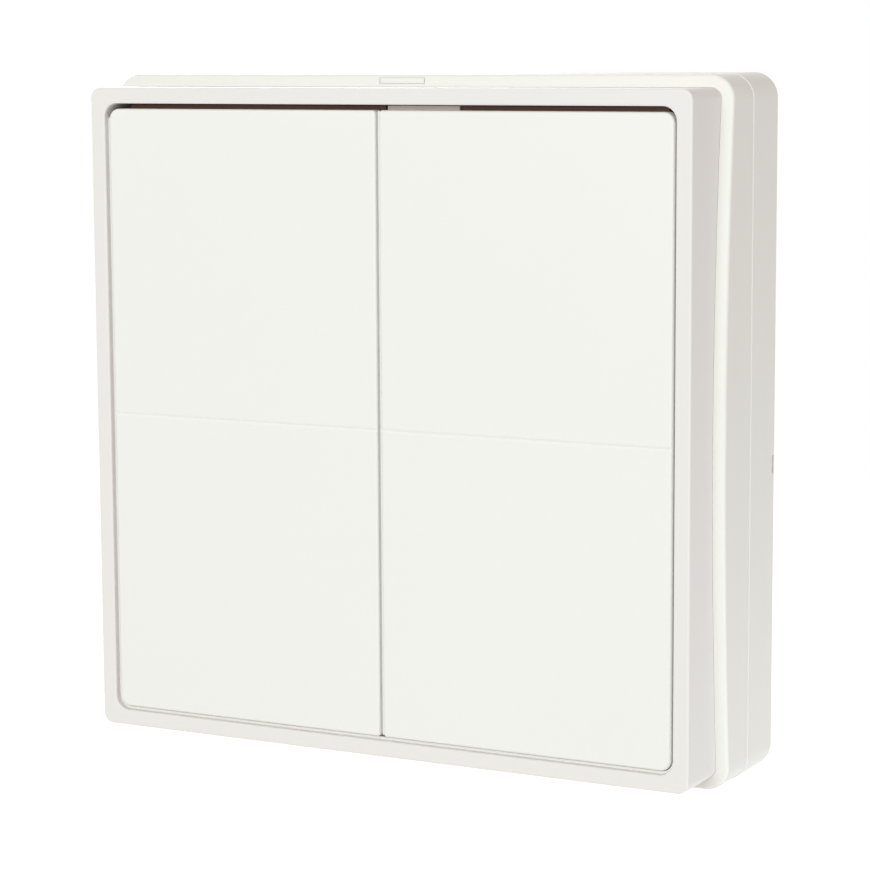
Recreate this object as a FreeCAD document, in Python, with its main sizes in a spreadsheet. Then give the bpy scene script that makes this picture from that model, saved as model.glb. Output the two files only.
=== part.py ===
import FreeCAD, Part
import functools
import math
import os
import Sketcher
from FreeCAD import Placement, Rotation, Vector

# A battery-powered wireless wall remote in a surface-mounted housing: two rockers, each pressed at its
# top or its bottom, sit side by side in a square frame and work four key switches on a circuit board.
#
# Row frame in millimetres: X to the right, Z up, and the rockers face -Y. The origin is the middle of the
# flat back that lies on the wall. A level is a distance from the wall, so a point at level 5 has Y = -5.

# Every driving size: alias, value in millimetres, and what it is.
SIZES = (
    ("total_depth", 22.4, "wall to the front of the rim"),
    # housing and wall base, outside
    ("housing_corner", 2.9, "outer corner radius of the housing"),
    ("base_proud", 0.1, "wall base beyond the housing, all round"),
    ("seam_setback", 14.4, "front of the rim back to the seam between housing and wall base"),
    ("seam_gap", 0.03, "hairline between housing and wall base"),
    ("seam_chamfer", 0.1, "chamfer on the wall base at the seam"),
    ("shoulder_setback", 6.65, "front of the rim back to the shoulder, at the middle of a side"),
    ("shoulder_radius", 430.0, "radius of the very shallow dome that the shoulder follows"),
    ("shoulder_edge", 0.35, "rounding of the shoulder's outer edge"),
    ("back_edge", 0.4, "chamfer around the back"),
    # housing, inside
    ("housing_wall", 1.48, "wall of the housing"),
    ("flange_width", 1.65, "inward reach of the flange that carries the front frame"),
    ("flange_thickness", 1.4, "thickness of that flange"),
    ("release_width", 6.1, "release tab in the top shoulder, across"),
    ("release_height", 0.8, "release tab, up and down"),
    ("release_line", 0.1, "hairline that outlines the release tab"),
    ("release_depth", 0.25, "depth of that hairline"),
    # wall base, inside
    ("floor_thickness", 2.0, "back plate of the wall base"),
    ("lip_thickness", 0.8, "tongue that centres the housing on the wall base"),
    ("lip_height", 1.2, "tongue above the seam"),
    ("lip_root", 2.0, "tongue below the seam, where it grows out of the wall"),
    ("lip_clearance", 0.1, "tongue to housing wall"),
    ("lip_seat", 0.25, "overlap of the tongue and the base's side wall that it grows from"),
    ("bead_length", 12.0, "snap bead on the tongue, along the side"),
    ("bead_height", 0.5, "snap bead, front to back"),
    ("bead_reach", 0.35, "snap bead, outward"),
    ("bead_clearance", 0.1, "snap bead to its groove"),
    ("screw_pitch", 60.0, "wall screws, centre to centre"),
    ("screw_slot_length", 7.0, "wall screw slot, end to end"),
    ("screw_slot_width", 4.2, "wall screw slot, across"),
    ("screw_sink_rim", 2.0, "sunk land around a wall screw slot"),
    ("screw_sink_depth", 0.7, "depth of that land"),
    ("floor_rib_width", 1.0, "stiffening rib on the back plate"),
    ("floor_rib_height", 1.2, "height of that rib"),
    ("floor_rib_offset", 15.0, "rib to the centre line"),
    ("boss_height", 4.0, "carrier screw boss above the back plate"),
    ("boss_radius", 3.0, "carrier screw boss"),
    ("pry_width", 2.2, "pry notch in the side of the wall base, up and down"),
    ("pry_drop", 4.6, "pry notch below the middle of its side"),
    ("pry_depth", 0.5, "pry notch, inward"),
    ("pry_height", 0.5, "pry notch, front to back"),
    ("pry_back", 0.5, "wall to the pry notch"),
    # front frame
    ("frame_side", 80.0, "outer side of the front frame"),
    ("frame_corner", 1.3, "outer corner radius of the front frame"),
    ("frame_depth", 10.4, "front frame, front to back"),
    ("frame_fit", 0.02, "front frame to the housing around it"),
    ("rim_width", 1.95, "rim seen from the front"),
    ("opening_corner", 1.7, "corner radius of the frame's opening"),
    ("rim_edge", 0.25, "rounding of the rim's outer edge"),
    ("rim_inner_edge", 0.2, "rounding of the rim's inner edge"),
    ("hook_offset", 20.0, "snap hook to the middle of its side"),
    ("hook_width", 6.0, "snap hook along the side"),
    ("hook_thickness", 1.0, "snap hook arm"),
    ("hook_overlap", 0.25, "part of the arm that grows out of the frame wall"),
    ("hook_root", 1.4, "arm above the frame's back end"),
    ("hook_tip", 0.2, "arm beyond the hook's nose"),
    ("hook_catch", 0.6, "reach of the hook's nose under the flange"),
    ("hook_play", 0.1, "hook's nose to the underside of the flange"),
    ("hook_nose", 1.2, "hook's nose, front to back"),
    ("hook_lead", 0.48, "lead-in chamfer on the nose"),
    # rockers
    ("side_gap", 0.4, "rocker to the frame at the sides"),
    ("top_gap", 0.65, "rocker to the frame at the top"),
    ("bottom_gap", 0.4, "rocker to the frame at the bottom"),
    ("centre_gap", 0.48, "between the two rockers"),
    ("rocker_recess", 0.4, "front of the rim back to the rocker's face"),
    ("rocker_plate", 1.6, "rocker's plate"),
    ("rocker_corner", 1.3, "rocker's outer corner radius"),
    ("rocker_inner_corner", 0.4, "rocker's corner radius beside the centre gap"),
    ("rocker_edge", 0.3, "rounding of the rocker's front edge"),
    ("groove_width", 0.6, "dividing groove across a rocker"),
    ("groove_depth", 0.16, "depth of that groove"),
    ("groove_drop", 0.4, "that groove below the pivot line"),
    ("skirt_inset", 0.8, "skirt in from the plate's side and bottom edges"),
    ("skirt_top_inset", 3.0, "skirt in from the plate's top edge"),
    ("skirt_thickness", 1.0, "skirt behind the plate"),
    ("skirt_depth", 1.8, "skirt, front to back"),
    ("rib_thickness", 0.9, "stiffening rib behind the plate"),
    ("rib_depth", 1.2, "rib, front to back"),
    ("rib_offset_x", 7.5, "upright ribs to the rocker's centre line"),
    ("rib_near_z", 11.0, "inner level ribs to the pivot"),
    ("rib_far_z", 30.0, "outer level ribs to the pivot"),
    # pivots
    ("pivot_height", 2.0, "pivot line above the carrier's plate"),
    ("pivot_spread", 13.0, "pivot posts to the rocker's centre line"),
    ("pin_radius", 1.0, "pivot pin"),
    ("pin_end", 0.45, "pin beyond the clip around it"),
    ("pin_clearance", 0.05, "pin to the clip around it"),
    ("post_width", 2.6, "pivot post along the pivot line"),
    ("post_radius", 1.9, "rounded head of a pivot post"),
    ("clip_play", 0.15, "clip to the side of the post"),
    ("clip_thickness", 1.4, "clip along the pivot line"),
    ("clip_wall", 1.15, "clip's wall above and below the pin"),
    ("clip_below", 1.4, "clip beyond the pivot line"),
    ("clip_snap", 0.15, "part of the pin's radius that the clip's mouth grips"),
    # carrier
    ("carrier_setback", 6.6, "front of the rim back to the carrier's plate"),
    ("carrier_plate", 1.6, "carrier's plate"),
    ("carrier_gap", 0.45, "carrier to the frame around it"),
    ("bar_setback", 2.9, "front of the rim back to the stop bar behind the rockers' top edges"),
    ("bar_inset", 1.6, "ends of the stop bar in from the carrier's sides"),
    ("bar_gap", 0.15, "stop bar below the top of the frame's opening"),
    ("bar_thickness", 2.0, "stop bar, up and down"),
    ("window_play", 0.4, "window over a key switch, to the switch's cover"),
    ("pillar_inset", 3.3, "middle of a carrier pillar in from the plate's edges"),
    ("pillar_radius", 2.6, "carrier pillar"),
    ("head_play", 0.15, "carrier screw's head to its sunk seat"),
    ("head_sunk", 0.2, "carrier screw's head below the plate's front"),
    ("stud_radius", 1.8, "board stud"),
    # circuit board
    ("board_inset", 2.3, "circuit board's edges in from the middles of the pillars"),
    ("board_corner", 2.0, "its corner radius"),
    ("stud_inset", 3.5, "board stud in from the board's edges"),
    ("board_thickness", 1.6, "its thickness"),
    # key switches
    ("key_height", 22.0, "key switches above and below the pivot line"),
    ("switch_side", 6.0, "key switch, square"),
    ("switch_corner", 0.4, "its corner radius"),
    ("switch_base_height", 3.0, "moulded base of a switch"),
    ("switch_cavity_depth", 2.0, "depth of the cavity in that base"),
    ("cover_thickness", 0.3, "sheet-metal cover of a switch"),
    ("cover_leg_width", 2.4, "bent leg of the cover"),
    ("cover_leg_length", 1.8, "leg below the cover's underside"),
    ("stem_height", 5.0, "board to the top of the stem, at rest"),
    ("stem_radius", 1.7, "stem of a switch"),
    ("stem_play", 0.1, "stem to the hole in the cover"),
    ("stem_edge", 0.3, "bevel on the stem's top"),
    ("stem_flange_reach", 0.5, "flange that keeps the stem in, beyond the stem"),
    ("stem_flange_height", 0.5, "thickness of that flange"),
    ("stem_flange_play", 0.15, "flange to the cavity around it"),
    ("stem_travel", 0.35, "stem travel each way from rest"),
    ("dome_clearance", 0.05, "stem at full travel to the contact dome"),
    ("dome_rise", 0.4, "height of the contact dome"),
    ("dome_radius", 2.1, "outer radius of the contact dome"),
    ("dome_thickness", 0.1, "sheet of the contact dome"),
    ("foot_radius", 1.5, "rocker's foot over a stem"),
    ("foot_bevel", 0.6, "bevel on the foot's tip"),
    ("foot_gap", 0.05, "foot to stem at rest"),
    # screws
    ("carrier_screw_radius", 1.1, "carrier screw's shank"),
    ("carrier_screw_head", 2.0, "its head"),
    ("carrier_screw_head_height", 1.2, "height of its head"),
    ("carrier_screw_grip", 3.0, "its shank in the boss"),
    ("board_screw_radius", 0.95, "board screw's shank"),
    ("board_screw_head", 1.9, "its head"),
    ("board_screw_head_height", 1.2, "height of its head"),
    ("board_screw_grip", 2.1, "its shank in the stud"),
    ("screw_play", 0.1, "screw's shank to a hole that it passes through"),
    ("thread_fit", 0.05, "screw's shank to the bore that it cuts into"),
    ("drive_width", 0.5, "cross recess of a screw, width of an arm"),
    ("drive_length", 2.2, "cross recess, across"),
    ("drive_depth", 0.7, "cross recess, depth"),
    # coin cell and its holder
    ("cell_radius", 10.0, "coin cell"),
    ("cell_thickness", 3.2, "its thickness"),
    ("cell_cap_inset", 1.2, "its negative cap in from its rim"),
    ("cell_cap_height", 0.3, "step of that cap"),
    ("cell_edge", 0.35, "bevel on its rim"),
    ("cell_fit", 0.15, "coin cell to its holder"),
    ("holder_wall", 2.15, "thinnest wall of the cell holder round its well"),
    ("holder_corner", 6.0, "its corner radius"),
    ("holder_height", 3.8, "its height above the board"),
    ("holder_floor", 0.5, "its floor on the board"),
    ("contact_thickness", 0.2, "negative contact under the cell"),
    ("contact_length", 13.0, "its length"),
    ("contact_width", 4.0, "its width"),
    ("clip_sheet", 0.3, "positive clip's sheet"),
    ("clip_strap", 5.0, "width of the positive clip"),
    ("clip_web", 0.6, "web between the well and a slot for the clip's leg"),
    ("clip_slot_play", 0.3, "clip's leg to its slot in the holder"),
    # radio module
    ("module_width", 12.0, "radio module's board, across"),
    ("module_height", 16.6, "radio module's board, up and down"),
    ("module_thickness", 0.8, "its thickness"),
    ("module_z", 4.5, "its middle above the board's middle"),
    ("shield_inset", 0.7, "shield can in from the module board's sides"),
    ("shield_height", 11.2, "shield can, up and down"),
    ("shield_margin", 0.5, "shield can above the module board's lower edge"),
    ("shield_headroom", 0.3, "shield can over the radio chip"),
    ("module_headroom", 0.25, "shield can to the carrier"),
    ("shield_sheet", 0.2, "its sheet"),
    ("radio_side", 5.0, "radio chip, square"),
    ("radio_rise", 0.85, "its height"),
    ("radio_drop", 1.3, "its middle below the shield can's middle"),
    ("crystal_width", 2.5, "crystal, across"),
    ("crystal_height", 2.0, "crystal, up and down"),
    ("crystal_rise", 0.55, "its height"),
    ("crystal_lift", 3.7, "its middle above the shield can's middle"),
    ("aerial_width", 7.0, "chip aerial, across"),
    ("aerial_height", 2.0, "chip aerial, up and down"),
    ("aerial_rise", 1.0, "its height"),
    ("aerial_margin", 1.0, "aerial below the module board's upper edge"),
    # indicator
    ("guide_x", 4.95, "indicator and light guide, right of the centre line"),
    ("guide_inset", 8.65, "indicator below the top of the frame's opening"),
    ("guide_width", 9.5, "light guide, across"),
    ("guide_riser", 1.6, "its riser over the indicator, up and down"),
    ("guide_arm", 1.4, "its arm along the carrier, front to back"),
    ("guide_tip_reach", 0.15, "its tip short of the frame's opening"),
    ("guide_tip", 2.3, "its tip, up and down"),
    ("guide_setback", 2.8, "front of the rim back to its tip"),
    ("guide_window_play", 0.3, "light guide to its window in the carrier"),
    ("guide_lamp_gap", 0.2, "light guide to the indicator"),
    ("led_width", 1.6, "indicator, across"),
    ("led_height", 0.8, "indicator, up and down"),
    ("led_rise", 0.6, "its height above the board"),
    # small parts on the board
    ("chip_width", 1.6, "chip resistor or capacitor, across"),
    ("chip_height", 0.8, "chip resistor or capacitor, up and down"),
    ("resistor_rise", 0.5, "chip resistor's height"),
    ("capacitor_rise", 0.8, "chip capacitor's height"),
    ("chip_pitch", 2.4, "chips, centre to centre"),
    ("chip_gap", 4.5, "middle of a chip column beyond the radio module's board"),
)

CHIPS_PER_COLUMN = 5
SIDES = (("left", -1), ("right", 1))
HEIGHTS = (("upper", 1), ("lower", -1))
CORNERS = [(x, z) for x in (-1, 1) for z in (-1, 1)]
KEYS = [(f"{high}_{side}", sx, sz) for high, sz in HEIGHTS for side, sx in SIDES]
FACING_FRONT = Placement(Vector(), Rotation(Vector(1, 0, 0), 90))
FACING_WALL = Placement(Vector(), Rotation(Vector(1, 0, 0), -90))

document = FreeCAD.newDocument("wall_remote")
sheet = document.addObject("Spreadsheet::Sheet", "Sizes")
for row, (alias, value, meaning) in enumerate(SIZES, 1):
    sheet.set(f"A{row}", alias)
    sheet.set(f"B{row}", str(value))
    sheet.set(f"C{row}", meaning)
    sheet.setAlias(f"B{row}", alias)
document.recompute()


ALIASES = {alias for alias, _, _ in SIZES}
nodes = []


def sized(expression):
    """Addresses each alias in an expression through the sheet, as in Sizes.total_depth."""
    words = expression.replace("(", "( ").replace(")", " )").split()
    return " ".join("Sizes." + word if word in ALIASES else word for word in words)


@functools.cache
def number(expression):
    """The value of an expression in the sheet's sizes."""
    return float(sheet.evalExpression(sized(expression)))


# Levels that follow from the sizes, from the wall to the front.
SEAM = "( total_depth - seam_setback )"
HOUSING_BACK = f"( {SEAM} + seam_gap )"
BEAD_BACK = f"( {SEAM} + lip_height / 2 - bead_height / 2 )"
FRAME_BACK = "( total_depth - frame_depth )"
FLANGE_BACK = f"( {FRAME_BACK} - flange_thickness )"
SHOULDER = "( total_depth - shoulder_setback )"
BOSS_TOP = "( floor_thickness + boss_height )"
CARRIER_FRONT = "( total_depth - carrier_setback )"
CARRIER_BACK = f"( {CARRIER_FRONT} - carrier_plate )"
SCREW_SEAT = f"( {CARRIER_FRONT} - carrier_screw_head_height - head_sunk )"
SHIELD_RISE = "( radio_rise + shield_headroom + shield_sheet )"
BOARD_CLEARANCE = f"( module_thickness + {SHIELD_RISE} + module_headroom )"
BOARD_FRONT = f"( {CARRIER_BACK} - {BOARD_CLEARANCE} )"
BOARD_BACK = f"( {BOARD_FRONT} - board_thickness )"
SWITCH_TOP = f"( {BOARD_FRONT} + switch_base_height )"
STEM_TOP = f"( {BOARD_FRONT} + stem_height )"
DOME_FOOT = f"( {SWITCH_TOP} - switch_cavity_depth )"
STEM_FOOT = f"( {DOME_FOOT} + dome_rise + dome_clearance + stem_travel )"
PIVOT = f"( {CARRIER_FRONT} + pivot_height )"
BAR_FRONT = "( total_depth - bar_setback )"
ROCKER_FACE = "( total_depth - rocker_recess )"
PLATE_BACK = f"( {ROCKER_FACE} - rocker_plate )"
HOLDER_BACK = f"( {BOARD_BACK} - holder_height )"
CELL_FRONT = f"( {BOARD_BACK} - holder_floor - contact_thickness )"
CELL_BACK = f"( {CELL_FRONT} - cell_thickness )"
MODULE_FRONT = f"( {BOARD_FRONT} + module_thickness )"

# Distances from the centre lines that several pieces share.
FRAME_HALF = "( frame_side / 2 )"
HOUSING_INNER = f"( {FRAME_HALF} + frame_fit )"
HOUSING_INNER_CORNER = "( frame_corner + frame_fit )"
HOUSING_HALF = f"( {HOUSING_INNER} + housing_wall )"
HOUSING_SIDE = f"( 2 * {HOUSING_HALF} )"
BASE_HALF = f"( {HOUSING_HALF} + base_proud )"
BASE_SIDE = f"( 2 * {BASE_HALF} )"
OPENING_HALF = "( frame_side / 2 - rim_width )"
FLANGE_INNER = f"( {HOUSING_INNER} - flange_width )"
LIP_OUTER = f"( {HOUSING_INNER} - lip_clearance )"
BASE_INNER = f"( {LIP_OUTER} - lip_seat )"
CARRIER_HALF = f"( {OPENING_HALF} - carrier_gap )"
ROCKER_WIDTH = f"( {OPENING_HALF} - side_gap - centre_gap / 2 )"
ROCKER_MIDDLE = f"( centre_gap / 2 + {ROCKER_WIDTH} / 2 )"
ROCKER_TOP = f"( {OPENING_HALF} - top_gap )"
ROCKER_BOTTOM = f"( {OPENING_HALF} - bottom_gap )"
CLIP_OFFSET = "( post_width / 2 + clip_play + clip_thickness / 2 )"
CLIP_WIDTH = "( 2 * ( pin_radius + pin_clearance + clip_wall ) )"
PIN_LENGTH = "( post_width + 2 * ( clip_play + clip_thickness + pin_end ) )"
HOOK_LENGTH = "( flange_thickness + hook_play + hook_nose + hook_tip )"
PILLAR_OFFSET = f"( {CARRIER_HALF} - pillar_inset )"
BOARD_SIDE = f"( 2 * {PILLAR_OFFSET} - 2 * board_inset )"
STUD_OFFSET = f"( {BOARD_SIDE} / 2 - stud_inset )"
GUIDE_Z = f"( {OPENING_HALF} - guide_inset )"
SHIELD_Z = "( module_z - module_height / 2 + shield_margin + shield_height / 2 )"
CELL_WELL = "( cell_radius + cell_fit )"
CLIP_SPAN = f"( {CELL_WELL} + clip_web + clip_slot_play + clip_sheet / 2 )"


def name_node(item, name):
    """Makes an object one of the nodes that are written out."""
    item.Label = name
    nodes.append(item)
    return item


def new_body(name):
    return name_node(document.addObject("PartDesign::Body", name), name)


def origin_plane(body, role):
    return next(item for item in body.Origin.OriginFeatures if item.Role == role)


def new_sketch(body, name, role, distance):
    sketch = body.newObject("Sketcher::SketchObject", name)
    sketch.AttachmentSupport = [(origin_plane(body, role), "")]
    sketch.MapMode = "FlatFace"
    sketch.setExpression("AttachmentOffset.Base.z", sized(distance))
    return sketch


def front_sketch(body, name, level):
    """A sketch seen from the front at a level: its x is X and its y is Z."""
    return new_sketch(body, name, "XZ_Plane", level)


def side_sketch(body, name, x="0"):
    """A sketch seen from the right at an X: its x is minus the level and its y is Z."""
    return new_sketch(body, name, "YZ_Plane", x)


def constrain(sketch, expression, *rule):
    """Adds a dimension that follows an expression. rule is the constraint's kind and its geometry."""
    index = sketch.addConstraint(Sketcher.Constraint(*rule, number(expression)))
    name = f"size_{index}"
    sketch.renameConstraint(index, name)
    sketch.setExpression(f"Constraints.{name}", sized(expression))


def fix_point(sketch, geometry, vertex, x, y):
    constrain(sketch, x, "DistanceX", -1, 1, geometry, vertex)
    constrain(sketch, y, "DistanceY", -1, 1, geometry, vertex)


def centre_point(sketch, x, y):
    """The origin, or a construction point at x, y."""
    if (x, y) == ("0", "0"):
        return -1
    point = sketch.addGeometry(Part.Point(Vector(number(x), number(y), 0)), True)
    fix_point(sketch, point, 1, x, y)
    return point


def circle(sketch, radius, x="0", y="0"):
    middle = Vector(number(x), number(y), 0)
    ring = sketch.addGeometry(Part.Circle(middle, Vector(0, 0, 1), number(radius)))
    fix_point(sketch, ring, 3, x, y)
    constrain(sketch, radius, "Radius", ring)


def polygon(sketch, corners):
    """A closed outline through corners, each an x and a y expression."""
    places = [Vector(number(x), number(y), 0) for x, y in corners]
    count = len(places)
    first = sketch.GeometryCount
    for n in range(count):
        sketch.addGeometry(Part.LineSegment(places[n], places[(n + 1) % count]))
    for n in range(count):
        following = first + (n + 1) % count
        sketch.addConstraint(Sketcher.Constraint("Coincident", first + n, 2, following, 1))
    for n, (x, y) in enumerate(corners):
        fix_point(sketch, first + n, 1, x, y)


def rectangle(sketch, width, height, x="0", y="0"):
    polygon(sketch, [(f"{x} + {i} * ( {width} ) / 2", f"{y} + {j} * ( {height} ) / 2")
                     for i, j in ((-1, -1), (1, -1), (1, 1), (-1, 1))])


def rounded(sketch, width, height, corner, x="0", y="0"):
    """A rectangle with round corners about x, y."""
    a, b = number(width) / 2, number(height) / 2
    r = number(corner)
    middle = Vector(number(x), number(y), 0)
    centre = centre_point(sketch, x, y)
    first = sketch.GeometryCount
    ends = (((r - a, -b), (a - r, -b)), ((a, r - b), (a, b - r)),
            ((a - r, b), (r - a, b)), ((-a, b - r), (-a, r - b)))
    for start, end in ends:
        sketch.addGeometry(Part.LineSegment(middle + Vector(*start), middle + Vector(*end)))
    for n, (i, j) in enumerate(((1, -1), (1, 1), (-1, 1), (-1, -1))):
        whole = Part.Circle(middle + Vector(i * (a - r), j * (b - r)), Vector(0, 0, 1), r)
        begin = math.radians(90 * (n - 1))
        sketch.addGeometry(Part.ArcOfCircle(whole, begin, begin + math.pi / 2))
    rules = []
    for n in range(4):
        line, arc, following = first + n, first + 4 + n, first + (n + 1) % 4
        rules.append(Sketcher.Constraint("Tangent", line, 2, arc, 1))
        rules.append(Sketcher.Constraint("Tangent", arc, 2, following, 1))
        rules.append(Sketcher.Constraint("Vertical" if n % 2 else "Horizontal", line))
    for n in range(3):
        rules.append(Sketcher.Constraint("Equal", first + 4, first + 5 + n))
    rules.append(Sketcher.Constraint("Symmetric", first, 1, first + 2, 1, centre, 1))
    sketch.addConstraint(rules)
    constrain(sketch, width, "DistanceX", first + 3, 2, first + 1, 1)
    constrain(sketch, height, "DistanceY", first, 2, first + 2, 1)
    constrain(sketch, corner, "Radius", first + 4)


def slot(sketch, length, width, x="0", y="0"):
    """A slot along the sketch's x, about x, y."""
    r = number(width) / 2
    a = number(length) / 2 - r
    middle = Vector(number(x), number(y), 0)
    centre = centre_point(sketch, x, y)
    first = sketch.GeometryCount
    for side in (1, -1):
        whole = Part.Circle(middle + Vector(side * a, 0), Vector(0, 0, 1), r)
        begin = -side * math.pi / 2
        sketch.addGeometry(Part.ArcOfCircle(whole, begin, begin + math.pi))
        start = middle + Vector(side * a, side * r)
        end = middle + Vector(-side * a, side * r)
        sketch.addGeometry(Part.LineSegment(start, end))
    rules = [Sketcher.Constraint("Tangent", first + n, 2, first + (n + 1) % 4, 1) for n in range(4)]
    rules.append(Sketcher.Constraint("Horizontal", first + 1))
    rules.append(Sketcher.Constraint("Equal", first, first + 2))
    rules.append(Sketcher.Constraint("Symmetric", first, 3, first + 2, 3, centre, 1))
    sketch.addConstraint(rules)
    constrain(sketch, f"{length} - {width}", "DistanceX", first + 2, 3, first, 3)
    constrain(sketch, f"{width} / 2", "Radius", first)


def pad(body, name, sketch, length, to_wall=False, both_ways=False):
    """Adds a sketch's outline, towards the front unless to_wall. A side sketch is padded both_ways."""
    feature = body.newObject("PartDesign::Pad", name)
    feature.Profile = sketch
    feature.Reversed = to_wall
    feature.SideType = "Symmetric" if both_ways else "One side"
    feature.setExpression("Length", sized(length))
    document.recompute()
    return feature


def pocket(body, name, sketch, depth, to_front=False, both_ways=False):
    """Cuts a sketch's outline away, towards the wall unless to_front."""
    before = body.Shape.Volume
    feature = body.newObject("PartDesign::Pocket", name)
    feature.Profile = sketch
    feature.Reversed = to_front
    feature.SideType = "Symmetric" if both_ways else "One side"
    feature.setExpression("Length", sized(depth))
    document.recompute()
    if body.Shape.Volume >= before:
        raise ValueError(f"{name} of {body.Label} cuts nothing")
    return feature


def edges_where(feature, test):
    """Names of the edges all of whose sampled points pass a test on X, level and Z."""
    names = []
    for index, edge in enumerate(feature.Shape.Edges, 1):
        first, last = edge.ParameterRange
        points = [edge.valueAt(first + (last - first) * share) for share in (0.0, 0.5, 1.0)]
        if all(test(point.x, -point.y, point.z) for point in points):
            names.append(f"Edge{index}")
    return names


def near(value, expression):
    return abs(value - number(expression)) < 1e-4


def dress(body, name, kind, feature, test, size):
    """Rounds or chamfers the edges that pass the test. kind is Fillet or Chamfer."""
    result = body.newObject(f"PartDesign::{kind}", name)
    result.Base = (feature, edges_where(feature, test))
    result.setExpression("Radius" if kind == "Fillet" else "Size", sized(size))
    document.recompute()
    return result


def four_sides(sketch, along, across, distance):
    """A rectangle on the middle of each side, at a distance from the centre."""
    for i in (-1, 1):
        rectangle(sketch, along, across, y=f"{i} * {distance}")
        rectangle(sketch, across, along, x=f"{i} * {distance}")


def wall_base():
    """Flat tray that is screwed to the wall. The housing snaps over its tongue."""
    body = new_body("wall_base")
    floor = front_sketch(body, "floor_outline", "0")
    base_corner = "housing_corner + base_proud"
    rounded(floor, BASE_SIDE, BASE_SIDE, base_corner)
    pad(body, "floor", floor, "floor_thickness")
    wall = front_sketch(body, "wall_outline", "floor_thickness")
    rounded(wall, BASE_SIDE, BASE_SIDE, base_corner)
    inner = f"2 * {BASE_INNER}"
    rounded(wall, inner, inner, f"{base_corner} - {BASE_HALF} + {BASE_INNER}")
    wall_pad = pad(body, "side_wall", wall, f"{SEAM} - floor_thickness")
    rim = dress(body, "seam_bevel", "Chamfer", wall_pad,
                lambda x, level, z: near(level, SEAM) and max(abs(x), abs(z)) > number(HOUSING_INNER),
                "seam_chamfer")
    dress(body, "back_bevel", "Chamfer", rim, lambda x, level, z: near(level, "0"), "back_edge")
    tongue = front_sketch(body, "tongue_outline", f"{SEAM} - lip_root")
    outer = f"2 * {LIP_OUTER}"
    inner = f"2 * {LIP_OUTER} - 2 * lip_thickness"
    tongue_corner = f"{HOUSING_INNER_CORNER} - lip_clearance"
    rounded(tongue, outer, outer, tongue_corner)
    rounded(tongue, inner, inner, f"{tongue_corner} - lip_thickness")
    pad(body, "tongue", tongue, "lip_root + lip_height")
    beads = front_sketch(body, "bead_outlines", BEAD_BACK)
    four_sides(beads, "bead_length", "lip_thickness", f"( {LIP_OUTER} + bead_reach - lip_thickness / 2 )")
    pad(body, "snap_beads", beads, "bead_height")
    ribs = front_sketch(body, "rib_outlines", "floor_thickness")
    for i in (-1, 1):
        rectangle(ribs, f"2 * {BASE_INNER} + lip_seat", "floor_rib_width", y=f"{i} * floor_rib_offset")
    pad(body, "floor_ribs", ribs, "floor_rib_height")
    bosses = front_sketch(body, "boss_outlines", "floor_thickness")
    bores = front_sketch(body, "bore_outlines", BOSS_TOP)
    for i, j in CORNERS:
        at_pillar = (f"{i} * {PILLAR_OFFSET}", f"{j} * {PILLAR_OFFSET}")
        circle(bosses, "boss_radius", *at_pillar)
        circle(bores, "carrier_screw_radius + thread_fit", *at_pillar)
    pad(body, "screw_bosses", bosses, "boss_height")
    pocket(body, "boss_bores", bores, "boss_height")
    lands = front_sketch(body, "land_outlines", "floor_thickness")
    slots = front_sketch(body, "slot_outlines", "floor_thickness")
    for i in (-1, 1):
        slot(lands, "screw_slot_length + 2 * screw_sink_rim", "screw_slot_width + 2 * screw_sink_rim",
             x=f"{i} * screw_pitch / 2")
        slot(slots, "screw_slot_length", "screw_slot_width", x=f"{i} * screw_pitch / 2")
    pocket(body, "sunk_lands", lands, "screw_sink_depth")
    pocket(body, "screw_slots", slots, "floor_thickness")
    notch = front_sketch(body, "notch_outline", "pry_back")
    rectangle(notch, "2 * pry_depth", "pry_width", BASE_HALF, "0 - pry_drop")
    pocket(body, "pry_notch", notch, "pry_height", to_front=True)


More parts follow.
